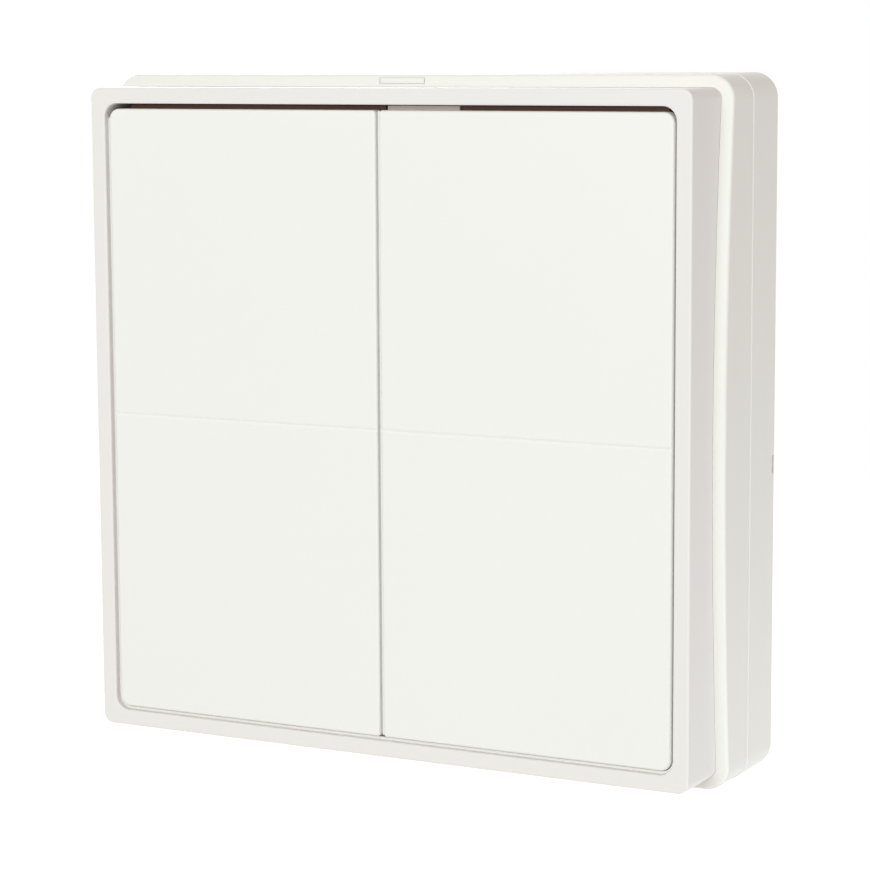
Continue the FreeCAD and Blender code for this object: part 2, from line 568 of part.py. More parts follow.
def surface_housing():
    """Square ring between the wall base and the front frame, with a shoulder that bows forward."""
    body = new_body("surface_housing")
    crown = f"( {SHOULDER} + {FRAME_HALF} * {FRAME_HALF} / shoulder_radius )"
    ring = front_sketch(body, "ring_outline", HOUSING_BACK)
    rounded(ring, HOUSING_SIDE, HOUSING_SIDE, "housing_corner")
    inner = f"2 * {HOUSING_INNER}"
    rounded(ring, inner, inner, HOUSING_INNER_CORNER)
    pad(body, "ring", ring, f"{crown} - {HOUSING_BACK}")
    flange = front_sketch(body, "flange_outline", FLANGE_BACK)
    outer = f"2 * {HOUSING_INNER} + housing_wall"
    rounded(flange, outer, outer, "housing_corner - housing_wall / 2")
    hole = f"2 * {FLANGE_INNER}"
    rounded(flange, hole, hole, "opening_corner")
    pad(body, "flange", flange, "flange_thickness")
    # The shoulder lies on a very large sphere that passes through the middles of its four sides.
    centre = f"( {SHOULDER} - sqrt( shoulder_radius * shoulder_radius - {FRAME_HALF} * {FRAME_HALF} ) )"
    reach = HOUSING_SIDE
    edge = f"( {centre} + sqrt( shoulder_radius * shoulder_radius - {reach} * {reach} ) )"
    top = f"( {centre} + shoulder_radius )"
    lid = f"( {crown} + housing_wall )"
    dome = side_sketch(body, "dome_outline")
    places = [(f"-1 * {top}", "0"), (f"-1 * {edge}", reach), (f"-1 * {lid}", reach), (f"-1 * {lid}", "0")]
    points = [Vector(number(x), number(y), 0) for x, y in places]
    whole = Part.Circle(Vector(-number(centre), 0, 0), Vector(0, 0, 1), number("shoulder_radius"))
    arc = dome.addGeometry(Part.ArcOfCircle(whole, whole.parameter(points[1]), whole.parameter(points[0])))
    for start, end in ((1, 2), (2, 3), (3, 0)):
        dome.addGeometry(Part.LineSegment(points[start], points[end]))
    dome.addConstraint([
        Sketcher.Constraint("Coincident", arc, 1, arc + 1, 1),
        Sketcher.Constraint("Coincident", arc + 1, 2, arc + 2, 1),
        Sketcher.Constraint("Coincident", arc + 2, 2, arc + 3, 1),
        Sketcher.Constraint("Coincident", arc + 3, 2, arc, 2),
    ])
    fix_point(dome, arc, 3, f"-1 * {centre}", "0")
    constrain(dome, "shoulder_radius", "Radius", arc)
    constrain(dome, reach, "DistanceY", -1, 1, arc + 1, 1)
    dome.addConstraint(Sketcher.Constraint("PointOnObject", arc + 3, 2, -1))
    fix_point(dome, arc + 2, 1, *places[2])
    fix_point(dome, arc + 3, 1, *places[3])
    groove = body.newObject("PartDesign::Groove", "shoulder")
    groove.Profile = dome
    groove.ReferenceAxis = (dome, ["H_Axis"])
    groove.Angle = 360
    document.recompute()
    dress(body, "shoulder_round", "Fillet", groove, is_shoulder_edge, "shoulder_edge")
    release = front_sketch(body, "release_outline", crown)
    middle = f"( {HOUSING_HALF} - housing_wall / 2 )"
    rectangle(release, "release_width", "release_height", y=middle)
    inside = ("release_width - 2 * release_line", "release_height - 2 * release_line")
    rectangle(release, *inside, y=middle)
    pocket(body, "release_hairline", release, f"{crown} - {SHOULDER} + release_depth")
    grooves = front_sketch(body, "bead_grooves", f"{BEAD_BACK} - bead_clearance")
    four_sides(grooves, "bead_length + 2 * bead_clearance", "housing_wall",
               f"( {LIP_OUTER} + bead_reach + bead_clearance - housing_wall / 2 )")
    pocket(body, "bead_grooves_cut", grooves, "bead_height + 2 * bead_clearance", to_front=True)


def is_shoulder_edge(x, level, z):
    """True on the shoulder's outer edge, which is where the large sphere meets the housing's outside."""
    radius = number("shoulder_radius")
    half = number(FRAME_HALF)
    centre = number(SHOULDER) - math.sqrt(radius ** 2 - half ** 2)
    off_sphere = abs(math.sqrt((level - centre) ** 2 + x ** 2 + z ** 2) - radius)
    return off_sphere < 1e-3 and max(abs(x), abs(z)) > half + 2 * number("frame_fit")


def front_frame():
    """Deep square frame round the rockers. Its snap hooks catch under the housing's flange."""
    body = new_body("front_frame")
    ring = front_sketch(body, "ring_outline", FRAME_BACK)
    rounded(ring, "frame_side", "frame_side", "frame_corner")
    opening = f"2 * {OPENING_HALF}"
    rounded(ring, opening, opening, "opening_corner")
    ring_pad = pad(body, "ring", ring, "frame_depth")
    outside = number(f"{OPENING_HALF} + rim_width / 2")
    rim = dress(body, "rim_round", "Fillet", ring_pad,
                lambda x, level, z: near(level, "total_depth") and max(abs(x), abs(z)) > outside, "rim_edge")
    dress(body, "opening_round", "Fillet", rim,
          lambda x, level, z: near(level, "total_depth") and max(abs(x), abs(z)) < outside,
          "rim_inner_edge")
    arms = front_sketch(body, "hook_arms", f"{FRAME_BACK} - {HOOK_LENGTH}")
    noses = front_sketch(body, "hook_noses", f"{FLANGE_BACK} - hook_play")
    arm = f"( {OPENING_HALF} + hook_overlap - hook_thickness / 2 )"
    nose_reach = f"( {FLANGE_INNER} + hook_catch - {OPENING_HALF} )"
    nose = f"( {OPENING_HALF} + {nose_reach} / 2 )"
    for i in (-1, 1):
        for j in (-1, 1):
            rectangle(arms, "hook_width", "hook_thickness", f"{i} * hook_offset", f"{j} * {arm}")
            rectangle(arms, "hook_thickness", "hook_width", f"{j} * {arm}", f"{i} * hook_offset")
            rectangle(noses, "hook_width", nose_reach, f"{i} * hook_offset", f"{j} * {nose}")
            rectangle(noses, nose_reach, "hook_width", f"{j} * {nose}", f"{i} * hook_offset")
    pad(body, "hook_arm_pads", arms, f"{HOOK_LENGTH} + hook_root")
    nose_pad = pad(body, "hook_nose_pads", noses, "hook_nose", to_wall=True)
    tip = f"{FLANGE_BACK} - hook_play - hook_nose"
    outside = number(f"{OPENING_HALF} + {nose_reach}")
    dress(body, "hook_lead_in", "Chamfer", nose_pad,
          lambda x, level, z: near(level, tip) and abs(max(abs(x), abs(z)) - outside) < 1e-4,
          "hook_lead")


def rocker_carrier():
    """Moulded chassis behind the rockers: pivot posts in front, board studs and pillars behind."""
    body = new_body("rocker_carrier")
    plate = front_sketch(body, "plate_outline", CARRIER_BACK)
    side = f"2 * {CARRIER_HALF}"
    rounded(plate, side, side, "opening_corner - carrier_gap")
    pad(body, "plate", plate, "carrier_plate")
    bar = front_sketch(body, "bar_outline", CARRIER_FRONT)
    bar_z = f"( {OPENING_HALF} - bar_gap - bar_thickness / 2 )"
    rectangle(bar, f"2 * {CARRIER_HALF} - 2 * bar_inset", "bar_thickness", y=bar_z)
    pad(body, "stop_bar", bar, f"{BAR_FRONT} - {CARRIER_FRONT}")
    passage = front_sketch(body, "guide_passage", BAR_FRONT)
    rectangle(passage, "guide_width + 2 * guide_window_play", "2 * bar_thickness", "guide_x", bar_z)
    pocket(body, "passage", passage, f"{BAR_FRONT} - {CARRIER_FRONT}")
    windows = front_sketch(body, "window_outlines", CARRIER_FRONT)
    window = "switch_side + 2 * cover_thickness + 2 * window_play"
    for _, i, j in KEYS:
        rounded(windows, window, window, "switch_corner", f"{i} * {ROCKER_MIDDLE}", f"{j} * key_height")
    rectangle(windows, "guide_width + 2 * guide_window_play", "guide_riser + 2 * guide_window_play",
              "guide_x", GUIDE_Z)
    pocket(body, "windows", windows, "carrier_plate")
    pillars = front_sketch(body, "pillar_outlines", CARRIER_BACK)
    studs = front_sketch(body, "stud_outlines", CARRIER_BACK)
    seats = front_sketch(body, "seat_outlines", CARRIER_FRONT)
    pillar_bores = front_sketch(body, "pillar_bores", CARRIER_FRONT)
    stud_bores = front_sketch(body, "stud_bores", BOARD_FRONT)
    for i, j in CORNERS:
        at_pillar = (f"{i} * {PILLAR_OFFSET}", f"{j} * {PILLAR_OFFSET}")
        circle(pillars, "pillar_radius", *at_pillar)
        circle(seats, "carrier_screw_head + head_play", *at_pillar)
        circle(pillar_bores, "carrier_screw_radius + screw_play", *at_pillar)
        at_stud = (f"{i} * {STUD_OFFSET}", f"{j} * {STUD_OFFSET}")
        circle(studs, "stud_radius", *at_stud)
        circle(stud_bores, "board_screw_radius + thread_fit", *at_stud)
    pad(body, "pillars", pillars, f"{CARRIER_BACK} - {BOSS_TOP}", to_wall=True)
    pad(body, "studs", studs, BOARD_CLEARANCE, to_wall=True)
    pocket(body, "screw_seats", seats, f"{CARRIER_FRONT} - {SCREW_SEAT}")
    pocket(body, "pillar_holes", pillar_bores, f"{CARRIER_FRONT} - {BOSS_TOP}")
    pocket(body, "stud_holes", stud_bores, BOARD_CLEARANCE, to_front=True)
    for side_name, i in SIDES:
        for place, k in (("inner", -1), ("outer", 1)):
            x = f"{i} * ( {ROCKER_MIDDLE} + {k} * pivot_spread )"
            foot = side_sketch(body, f"{side_name}_{place}_post_outline", x)
            rectangle(foot, "pivot_height", "2 * post_radius", f"( 0 - {CARRIER_FRONT} - pivot_height / 2 )")
            pad(body, f"{side_name}_{place}_post", foot, "post_width", both_ways=True)
            head = side_sketch(body, f"{side_name}_{place}_head_outline", x)
            circle(head, "post_radius", x=f"-1 * {PIVOT}")
            pad(body, f"{side_name}_{place}_head", head, "post_width", both_ways=True)
            pin = side_sketch(body, f"{side_name}_{place}_pin_outline", x)
            circle(pin, "pin_radius", x=f"-1 * {PIVOT}")
            pad(body, f"{side_name}_{place}_pin", pin, PIN_LENGTH, both_ways=True)


def rocker(side, i):
    """One rocker: face plate with a dividing groove, ribs and skirt behind, pivot clips and two feet."""
    body = new_body(f"{side}_rocker")
    middle_x = f"( {i} * {ROCKER_MIDDLE} )"
    middle_z = f"( {ROCKER_TOP} / 2 - {ROCKER_BOTTOM} / 2 )"
    face = front_sketch(body, "plate_outline", PLATE_BACK)
    rectangle(face, ROCKER_WIDTH, f"{ROCKER_TOP} + {ROCKER_BOTTOM}", middle_x, middle_z)
    plate = pad(body, "plate", face, "rocker_plate")

    def at_end(z):
        return near(z, ROCKER_TOP) or near(z, f"0 - {ROCKER_BOTTOM}")

    outer = dress(body, "outer_corners", "Fillet", plate,
                  lambda x, level, z: at_end(z) and near(abs(x), f"{OPENING_HALF} - side_gap"),
                  "rocker_corner")
    inner = dress(body, "inner_corners", "Fillet", outer,
                  lambda x, level, z: at_end(z) and near(abs(x), "centre_gap / 2"), "rocker_inner_corner")
    dress(body, "face_round", "Fillet", inner, lambda x, level, z: near(level, ROCKER_FACE), "rocker_edge")
    groove = side_sketch(body, "groove_outline", middle_x)
    polygon(groove, [(f"0 - {ROCKER_FACE} - groove_depth", "0 - groove_drop - groove_width"),
                     (f"0 - {ROCKER_FACE} + groove_depth", "0 - groove_drop"),
                     (f"0 - {ROCKER_FACE} - groove_depth", "groove_width - groove_drop")])
    pocket(body, "groove", groove, f"2 * {ROCKER_WIDTH}", both_ways=True)

    skirt = front_sketch(body, "skirt_outline", PLATE_BACK)
    width = f"{ROCKER_WIDTH} - 2 * skirt_inset"
    height = f"{ROCKER_TOP} - skirt_top_inset + {ROCKER_BOTTOM} - skirt_inset"
    skirt_z = f"( {ROCKER_TOP} / 2 - skirt_top_inset / 2 - {ROCKER_BOTTOM} / 2 + skirt_inset / 2 )"
    rounded(skirt, width, height, "rocker_corner - skirt_inset", middle_x, skirt_z)
    rectangle(skirt, f"{width} - 2 * skirt_thickness", f"{height} - 2 * skirt_thickness", middle_x, skirt_z)
    pad(body, "skirt", skirt, "skirt_depth", to_wall=True)
    ribs = front_sketch(body, "upright_rib_outlines", PLATE_BACK)
    for k in (-1, 1):
        x = f"( {middle_x} + {k} * rib_offset_x )"
        rectangle(ribs, "rib_thickness", f"{height} - skirt_thickness", x, skirt_z)
    pad(body, "upright_ribs", ribs, "rib_depth", to_wall=True)
    level_ribs = front_sketch(body, "level_rib_outlines", PLATE_BACK)
    for k in (-1, 1):
        for z in ("rib_near_z", "rib_far_z"):
            rectangle(level_ribs, f"{width} - skirt_thickness", "rib_thickness", middle_x, f"{k} * {z}")
    pad(body, "level_ribs", level_ribs, "rib_depth", to_wall=True)

    clips = front_sketch(body, "clip_outlines", PLATE_BACK)
    for k in (-1, 1):
        for m in (-1, 1):
            x = f"( {middle_x} + {k} * pivot_spread + {m} * {CLIP_OFFSET} )"
            rectangle(clips, "clip_thickness", CLIP_WIDTH, x)
    pad(body, "clips", clips, f"{PLATE_BACK} - {PIVOT} + clip_below", to_wall=True)
    reach = f"2 * ( pivot_spread + {CLIP_OFFSET} + clip_thickness )"
    bore = side_sketch(body, "clip_bore_outline", middle_x)
    circle(bore, "pin_radius + pin_clearance", x=f"-1 * {PIVOT}")
    pocket(body, "clip_bores", bore, reach, both_ways=True)
    mouth = side_sketch(body, "clip_mouth_outline", middle_x)
    rectangle(mouth, "2 * clip_below", "2 * ( pin_radius - clip_snap )", f"( clip_below - {PIVOT} )")
    pocket(body, "clip_mouths", mouth, reach, both_ways=True)

    feet = front_sketch(body, "foot_outlines", PLATE_BACK)
    for k in (-1, 1):
        circle(feet, "foot_radius", middle_x, f"{k} * key_height")
    foot_pad = pad(body, "feet", feet, f"{PLATE_BACK} - {STEM_TOP} - foot_gap", to_wall=True)
    tip = f"{STEM_TOP} + foot_gap"
    dress(body, "foot_tips", "Chamfer", foot_pad, lambda x, level, z: near(level, tip), "foot_bevel")


def circuit_board():
    """Board that carries the switches, the radio and the cell holder."""
    body = new_body("circuit_board")
    outline = front_sketch(body, "outline", BOARD_BACK)
    rounded(outline, BOARD_SIDE, BOARD_SIDE, "board_corner")
    for i, j in CORNERS:
        circle(outline, "board_screw_radius + screw_play", f"{i} * {STUD_OFFSET}", f"{j} * {STUD_OFFSET}")
    pad(body, "board", outline, "board_thickness")


def key_switch(place, i, j):
    """A soft-feel push switch as four nodes: base, contact dome, stem and sheet-metal cover."""
    x = f"( {i} * {ROCKER_MIDDLE} )"
    z = f"( {j} * key_height )"
    base = new_body(f"switch_base_{place}")
    outline = front_sketch(base, "outline", BOARD_FRONT)
    rounded(outline, "switch_side", "switch_side", "switch_corner", x, z)
    pad(base, "block", outline, "switch_base_height")
    cavity = front_sketch(base, "cavity_outline", SWITCH_TOP)
    circle(cavity, "stem_radius + stem_flange_reach + stem_flange_play", x, z)
    pocket(base, "cavity", cavity, "switch_cavity_depth")

    stem = new_body(f"switch_stem_{place}")
    flange = front_sketch(stem, "flange_outline", STEM_FOOT)
    circle(flange, "stem_radius + stem_flange_reach", x, z)
    pad(stem, "flange", flange, "stem_flange_height")
    shaft = front_sketch(stem, "shaft_outline", STEM_FOOT)
    circle(shaft, "stem_radius", x, z)
    shaft_pad = pad(stem, "shaft", shaft, f"{STEM_TOP} - {STEM_FOOT}")
    dress(stem, "top_bevel", "Chamfer", shaft_pad, lambda px, level, pz: near(level, STEM_TOP), "stem_edge")

    cover = new_body(f"switch_cover_{place}")
    sheet_outline = front_sketch(cover, "sheet_outline", SWITCH_TOP)
    rounded(sheet_outline, "switch_side", "switch_side + 2 * cover_thickness", "switch_corner", x, z)
    circle(sheet_outline, "stem_radius + stem_play", x, z)
    pad(cover, "sheet", sheet_outline, "cover_thickness")
    legs = front_sketch(cover, "leg_outlines", SWITCH_TOP)
    for k in (-1, 1):
        leg_z = f"( {z} + {k} * ( switch_side / 2 + cover_thickness / 2 ) )"
        rectangle(legs, "cover_leg_width", "cover_thickness", x, leg_z)
    pad(cover, "legs", legs, "cover_leg_length", to_wall=True)
    contact_dome(place, x, z)


def contact_dome(place, x, z):
    """Thin spherical cap that snaps when the stem presses it."""
    curve = "( ( dome_radius * dome_radius + dome_rise * dome_rise ) / ( 2 * dome_rise ) )"
    centre = f"( {DOME_FOOT} + dome_rise - {curve} )"
    balls = []
    for layer, radius in (("outer", curve), ("inner", f"{curve} - dome_thickness")):
        ball = document.addObject("Part::Sphere", f"dome_{layer}_{place}")
        ball.setExpression("Radius", sized(radius))
        put(ball, x, centre, z)
        balls.append(ball)
    shell = document.addObject("Part::Cut", f"dome_shell_{place}")
    shell.Base, shell.Tool = balls
    trim = document.addObject("Part::Cylinder", f"dome_trim_{place}")
    trim.Placement = FACING_FRONT
    trim.setExpression("Radius", sized("dome_radius"))
    trim.setExpression("Height", sized("2 * dome_rise"))
    put(trim, x, DOME_FOOT, z)
    dome = document.addObject("Part::Common", f"switch_dome_{place}")
    dome.Base = shell
    dome.Tool = trim
    name_node(dome, f"switch_dome_{place}")


def put(item, x, level, z):
    """Binds an object's place to expressions in X, level and Z."""
    item.setExpression("Placement.Base.x", sized(x))
    item.setExpression("Placement.Base.y", sized(f"-1 * ( {level} )"))
    item.setExpression("Placement.Base.z", sized(z))


def box(name, width, rise, height, x, level, z):
    """A block centred on x and z whose back is at a level."""
    block = document.addObject("Part::Box", name)
    block.setExpression("Length", sized(width))
    block.setExpression("Width", sized(rise))
    block.setExpression("Height", sized(height))
    put(block, f"{x} - {width} / 2", f"{level} + {rise}", f"{z} - {height} / 2")
    return block


def group(name, items):
    """Joins separate solids as one node without fusing them."""
    compound = document.addObject("Part::Compound", name)
    compound.Links = items
    name_node(compound, name)


def screws(name, offset, seat, facing_front, length):
    """Four cross-recessed screws at the corners. Their sizes' aliases start with the singular name."""
    kind = name[:-1]
    head_height = f"{kind}_head_height"
    outward = 1 if facing_front else -1
    done = []
    for index, (i, j) in enumerate(CORNERS):
        x, z = f"{i} * {offset}", f"{j} * {offset}"
        head = document.addObject("Part::Cone", f"{kind}_head_{index}")
        head.Placement = FACING_FRONT if facing_front else FACING_WALL
        head.setExpression("Radius1", sized(f"{kind}_head"))
        head.setExpression("Radius2", sized(f"{kind}_head - {head_height} / 2"))
        head.setExpression("Height", sized(head_height))
        put(head, x, seat, z)
        shank = document.addObject("Part::Cylinder", f"{kind}_shank_{index}")
        shank.Placement = FACING_WALL if facing_front else FACING_FRONT
        shank.setExpression("Radius", sized(f"{kind}_radius"))
        shank.setExpression("Height", sized(length))
        put(shank, x, seat, z)
        solid = document.addObject("Part::Fuse", f"{kind}_solid_{index}")
        solid.Base = head
        solid.Tool = shank
        top = f"{seat} + {outward} * {head_height}"
        cross = document.addObject("Part::Fuse", f"{kind}_cross_{index}")
        cross.Base = box(f"{kind}_level_{index}", "drive_length", "2 * drive_depth", "drive_width",
                         x, f"{top} - drive_depth", z)
        cross.Tool = box(f"{kind}_upright_{index}", "drive_width", "2 * drive_depth", "drive_length",
                         x, f"{top} - drive_depth", z)
        screw = document.addObject("Part::Cut", f"{kind}_{index}")
        screw.Base = solid
        screw.Tool = cross
        done.append(screw)
    group(name, done)


def cell_holder():
    """Moulded holder on the back of the board, with the coin cell in it and its two contacts."""
    holder = new_body("cell_holder")
    outline = front_sketch(holder, "outline", HOLDER_BACK)
    side = f"2 * {CELL_WELL} + 2 * holder_wall"
    rounded(outline, side, side, "holder_corner")
    pad(holder, "block", outline, "holder_height")
    well = front_sketch(holder, "well_outline", HOLDER_BACK)
    circle(well, CELL_WELL)
    pocket(holder, "well", well, "holder_height - holder_floor", to_front=True)
    slots = front_sketch(holder, "leg_slot_outlines", HOLDER_BACK)
    across = "clip_sheet + 2 * clip_slot_play"
    for i in (-1, 1):
        rectangle(slots, across, "clip_strap + 2 * clip_slot_play", f"{i} * {CLIP_SPAN}")
    pocket(holder, "leg_slots", slots, "holder_height", to_front=True)

    cell = new_body("coin_cell")
    can = front_sketch(cell, "can_outline", CELL_BACK)
    circle(can, "cell_radius")
    can_pad = pad(cell, "can", can, "cell_thickness - cell_cap_height")
    dress(cell, "can_bevel", "Chamfer", can_pad, lambda x, level, z: near(level, CELL_BACK), "cell_edge")
    cap = front_sketch(cell, "cap_outline", CELL_BACK)
    circle(cap, "cell_radius - cell_cap_inset")
    pad(cell, "cap", cap, "cell_thickness")

    negative = new_body("negative_contact")
    blade = front_sketch(negative, "blade_outline", CELL_FRONT)
    rounded(blade, "contact_length", "contact_width", "contact_width / 4")
    pad(negative, "blade", blade, "contact_thickness")

    positive = new_body("positive_clip")
    strap = front_sketch(positive, "strap_outline", CELL_BACK)
    rectangle(strap, f"2 * {CLIP_SPAN} + clip_sheet", "clip_strap")
    pad(positive, "strap", strap, "clip_sheet", to_wall=True)
    legs = front_sketch(positive, "leg_outlines", CELL_BACK)
    for i in (-1, 1):
        rectangle(legs, "clip_sheet", "clip_strap", f"{i} * {CLIP_SPAN}")
    pad(positive, "legs", legs, f"{BOARD_BACK} - {CELL_BACK}")


def radio_module():
    """Small board with the radio chip and crystal under a shield can, and a chip aerial beside it."""
    module = new_body("radio_module_board")
    outline = front_sketch(module, "outline", BOARD_FRONT)
    rectangle(outline, "module_width", "module_height", y="module_z")
    pad(module, "board", outline, "module_thickness")
    can = new_body("shield_can")
    outline = front_sketch(can, "outline", MODULE_FRONT)
    width = "module_width - 2 * shield_inset"
    rounded(outline, width, "shield_height", "2 * shield_sheet", y=SHIELD_Z)
    pad(can, "block", outline, SHIELD_RISE)
    hollow = front_sketch(can, "hollow_outline", MODULE_FRONT)
    rectangle(hollow, f"{width} - 2 * shield_sheet", "shield_height - 2 * shield_sheet", y=SHIELD_Z)
    pocket(can, "hollow", hollow, f"{SHIELD_RISE} - shield_sheet", to_front=True)
    for name, width, rise, height, z in (
            ("radio_chip", "radio_side", "radio_rise", "radio_side", f"{SHIELD_Z} - radio_drop"),
            ("crystal", "crystal_width", "crystal_rise", "crystal_height", f"{SHIELD_Z} + crystal_lift"),
            ("chip_aerial", "aerial_width", "aerial_rise", "aerial_height",
             "module_z + module_height / 2 - aerial_margin - aerial_height / 2")):
        name_node(box(name, width, rise, height, "0", MODULE_FRONT, z), name)


def small_chips():
    """One column of resistors and one of capacitors, on either side of the radio module."""
    for name, rise, i in (("chip_resistors", "resistor_rise", -1), ("chip_capacitors", "capacitor_rise", 1)):
        chips = []
        x = f"{i} * ( module_width / 2 + chip_gap )"
        for index in range(CHIPS_PER_COLUMN):
            z = f"module_z + {index - (CHIPS_PER_COLUMN - 1) / 2} * chip_pitch"
            chips.append(box(f"{name}_{index}", "chip_width", rise, "chip_height", x, BOARD_FRONT, z))
        group(name, chips)


def indicator():
    """Indicator lamp on the board, and the clear guide that leads its light to the gap at the top."""
    lamp = box("indicator_lamp", "led_width", "led_rise", "led_height", "guide_x", BOARD_FRONT, GUIDE_Z)
    name_node(lamp, "indicator_lamp")
    guide = new_body("light_guide")
    outline = side_sketch(guide, "outline", "guide_x")
    foot = f"0 - {BOARD_FRONT} - led_rise - guide_lamp_gap"
    arm_back = f"0 - {CARRIER_FRONT}"
    arm_front = f"0 - {CARRIER_FRONT} - guide_arm"
    tip_front = "guide_setback - total_depth"
    riser_low = f"{GUIDE_Z} - guide_riser / 2"
    riser_high = f"{GUIDE_Z} + guide_riser / 2"
    tip_high = f"{OPENING_HALF} - guide_tip_reach"
    tip_low = f"{tip_high} - guide_tip"
    polygon(outline, [(foot, riser_low), (arm_front, riser_low), (arm_front, tip_low),
                      (tip_front, tip_low), (tip_front, tip_high), (arm_back, tip_high),
                      (arm_back, riser_high), (foot, riser_high)])
    pad(guide, "bar", outline, "guide_width", both_ways=True)


wall_base()
surface_housing()
front_frame()
rocker_carrier()
for side, i in SIDES:
    rocker(side, i)
circuit_board()
for place, i, j in KEYS:
    key_switch(place, i, j)
screws("carrier_screws", PILLAR_OFFSET, SCREW_SEAT, True, f"{SCREW_SEAT} - {BOSS_TOP} + carrier_screw_grip")
screws("board_screws", STUD_OFFSET, BOARD_BACK, False, "board_thickness + board_screw_grip")
cell_holder()
radio_module()
small_chips()
indicator()
document.recompute()

failed = [item.Name for item in document.Objects if "Invalid" in item.State or "Error" in item.State]
if failed:
    raise RuntimeError(f"not built: {failed}")
os.makedirs("parts", exist_ok=True)
for node in nodes:
    if node.Shape.isNull() or not node.Shape.isValid():
        raise RuntimeError(f"{node.Label} has no valid shape")
    node.Shape.exportStep(f"parts/{node.Label}.step")
    print(f"{node.Label}: {len(node.Shape.Solids)} solid(s), {node.Shape.Volume:.1f} mm3")
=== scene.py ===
# %% [markdown]
# # Dressing a wall remote with two rockers
#
# The object is a battery-powered wireless remote for a wall. Two tall rockers sit side by side in a thin
# square frame, and the frame sits in a deeper housing with a shoulder. All of it is moulded plastic
# outside, and a small circuit board with four push switches, a radio and a coin cell is inside.
#
# The rigid pieces come ready-made from the CAD model, in metres: X to the right, Z up, and the rockers
# face -Y. This script gives them their materials, adds the small trim that CAD leaves out, and sets light
# and camera.

# %% Load the CAD model as a fixed frame
import math

import bmesh
import bpy
from mathutils import Matrix, Vector


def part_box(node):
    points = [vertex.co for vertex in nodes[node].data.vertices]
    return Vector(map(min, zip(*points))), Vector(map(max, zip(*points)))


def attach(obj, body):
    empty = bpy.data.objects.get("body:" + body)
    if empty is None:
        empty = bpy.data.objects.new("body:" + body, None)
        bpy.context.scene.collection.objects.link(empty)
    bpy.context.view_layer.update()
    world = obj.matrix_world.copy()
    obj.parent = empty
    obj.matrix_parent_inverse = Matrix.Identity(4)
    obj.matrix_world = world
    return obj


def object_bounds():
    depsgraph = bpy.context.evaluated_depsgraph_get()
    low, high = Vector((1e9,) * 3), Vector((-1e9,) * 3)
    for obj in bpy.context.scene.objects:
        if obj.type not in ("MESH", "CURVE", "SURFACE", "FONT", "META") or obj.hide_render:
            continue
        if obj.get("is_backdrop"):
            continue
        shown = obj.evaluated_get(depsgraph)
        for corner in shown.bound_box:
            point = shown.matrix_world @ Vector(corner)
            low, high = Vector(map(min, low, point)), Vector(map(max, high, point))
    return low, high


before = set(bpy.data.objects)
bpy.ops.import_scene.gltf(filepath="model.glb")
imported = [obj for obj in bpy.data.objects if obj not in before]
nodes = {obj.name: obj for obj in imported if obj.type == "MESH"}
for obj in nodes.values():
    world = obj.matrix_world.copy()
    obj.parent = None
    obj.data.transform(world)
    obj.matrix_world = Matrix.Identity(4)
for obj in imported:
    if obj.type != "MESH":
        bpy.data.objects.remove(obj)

scene = bpy.context.scene
cad_low, cad_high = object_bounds()
print(len(nodes), "CAD pieces, overall", [round(1000 * side, 1) for side in cad_high - cad_low], "mm")

# %% [markdown]
# ## Camera
#
# The photograph looks at the remote from its right and from a little above. The camera's place was fitted
# to the corners of the square front, whose real side is 80 mm. A long lens from a third of a metre away
# gives the same mild convergence of the edges. `to_track_quat` turns the camera's -Z axis to the aim point
# with Y up, and a small roll about the view axis does the rest.

# %% Camera
LENS_MM = 116.5
SENSOR_MM = 36.0
CAMERA_PLACE = Vector((0.16007, -0.31203, 0.04448))
CAMERA_AIM = Vector((0.00759, -0.0222, -0.00044))
CAMERA_ROLL = math.radians(-0.306)

camera_data = bpy.data.cameras.new("photo_camera")
camera_data.lens = LENS_MM
camera_data.sensor_width = SENSOR_MM
camera = bpy.data.objects.new("photo_camera", camera_data)
scene.collection.objects.link(camera)
facing = (CAMERA_AIM - CAMERA_PLACE).to_track_quat("-Z", "Y").to_matrix().to_4x4()
camera.matrix_world = Matrix.Translation(CAMERA_PLACE) @ facing @ Matrix.Rotation(CAMERA_ROLL, 4, "Z")
scene.camera = camera
print("camera", round((CAMERA_AIM - CAMERA_PLACE).length, 3), "m from the front")

# %% [markdown]
# ## Helpers for materials
#
# Colours are written as sRGB hex values, as a paint chart gives them, but shaders work with linear light,
# so one function converts them. A second function adds a node to a node tree. What it is given under the
# name of an input becomes that input's value, anything else is a property of the node, and links feed its
# inputs from other nodes. Two short ones start a material and finish it.

# %% Colour and node helpers
def linear(hex_colour):
    """Turns an sRGB colour such as F0F0EB into linear red, green, blue and alpha."""
    channels = [int(hex_colour[i:i + 2], 16) / 255 for i in (0, 2, 4)]
    return [c / 12.92 if c <= 0.04045 else ((c + 0.055) / 1.055) ** 2.4 for c in channels] + [1.0]


def add(tree, kind, settings=None, links=None):
    """Adds a node, sets its inputs and properties, and links its inputs to other nodes' outputs."""
    node = tree.nodes.new(kind)
    for name, value in (settings or {}).items():
        if isinstance(name, int) or name in node.inputs:
            node.inputs[name].default_value = value
        else:
            setattr(node, name, value)
    for name, source in (links or {}).items():
        tree.links.new(source, node.inputs[name])
    return node


def new_material(name):
    """A material with no nodes but the object's own coordinates in metres."""
    material = bpy.data.materials.new(name)
    material.use_nodes = True
    tree = material.node_tree
    tree.nodes.clear()
    place = add(tree, "ShaderNodeTexCoord").outputs["Object"]
    return material, tree, place


def finish_material(tree, shader):
    """Connects the last shader to the material's output."""
    add(tree, "ShaderNodeOutputMaterial", links={"Surface": shader.outputs[0]})


print("white is", [round(c, 3) for c in linear("EFF0EB")])

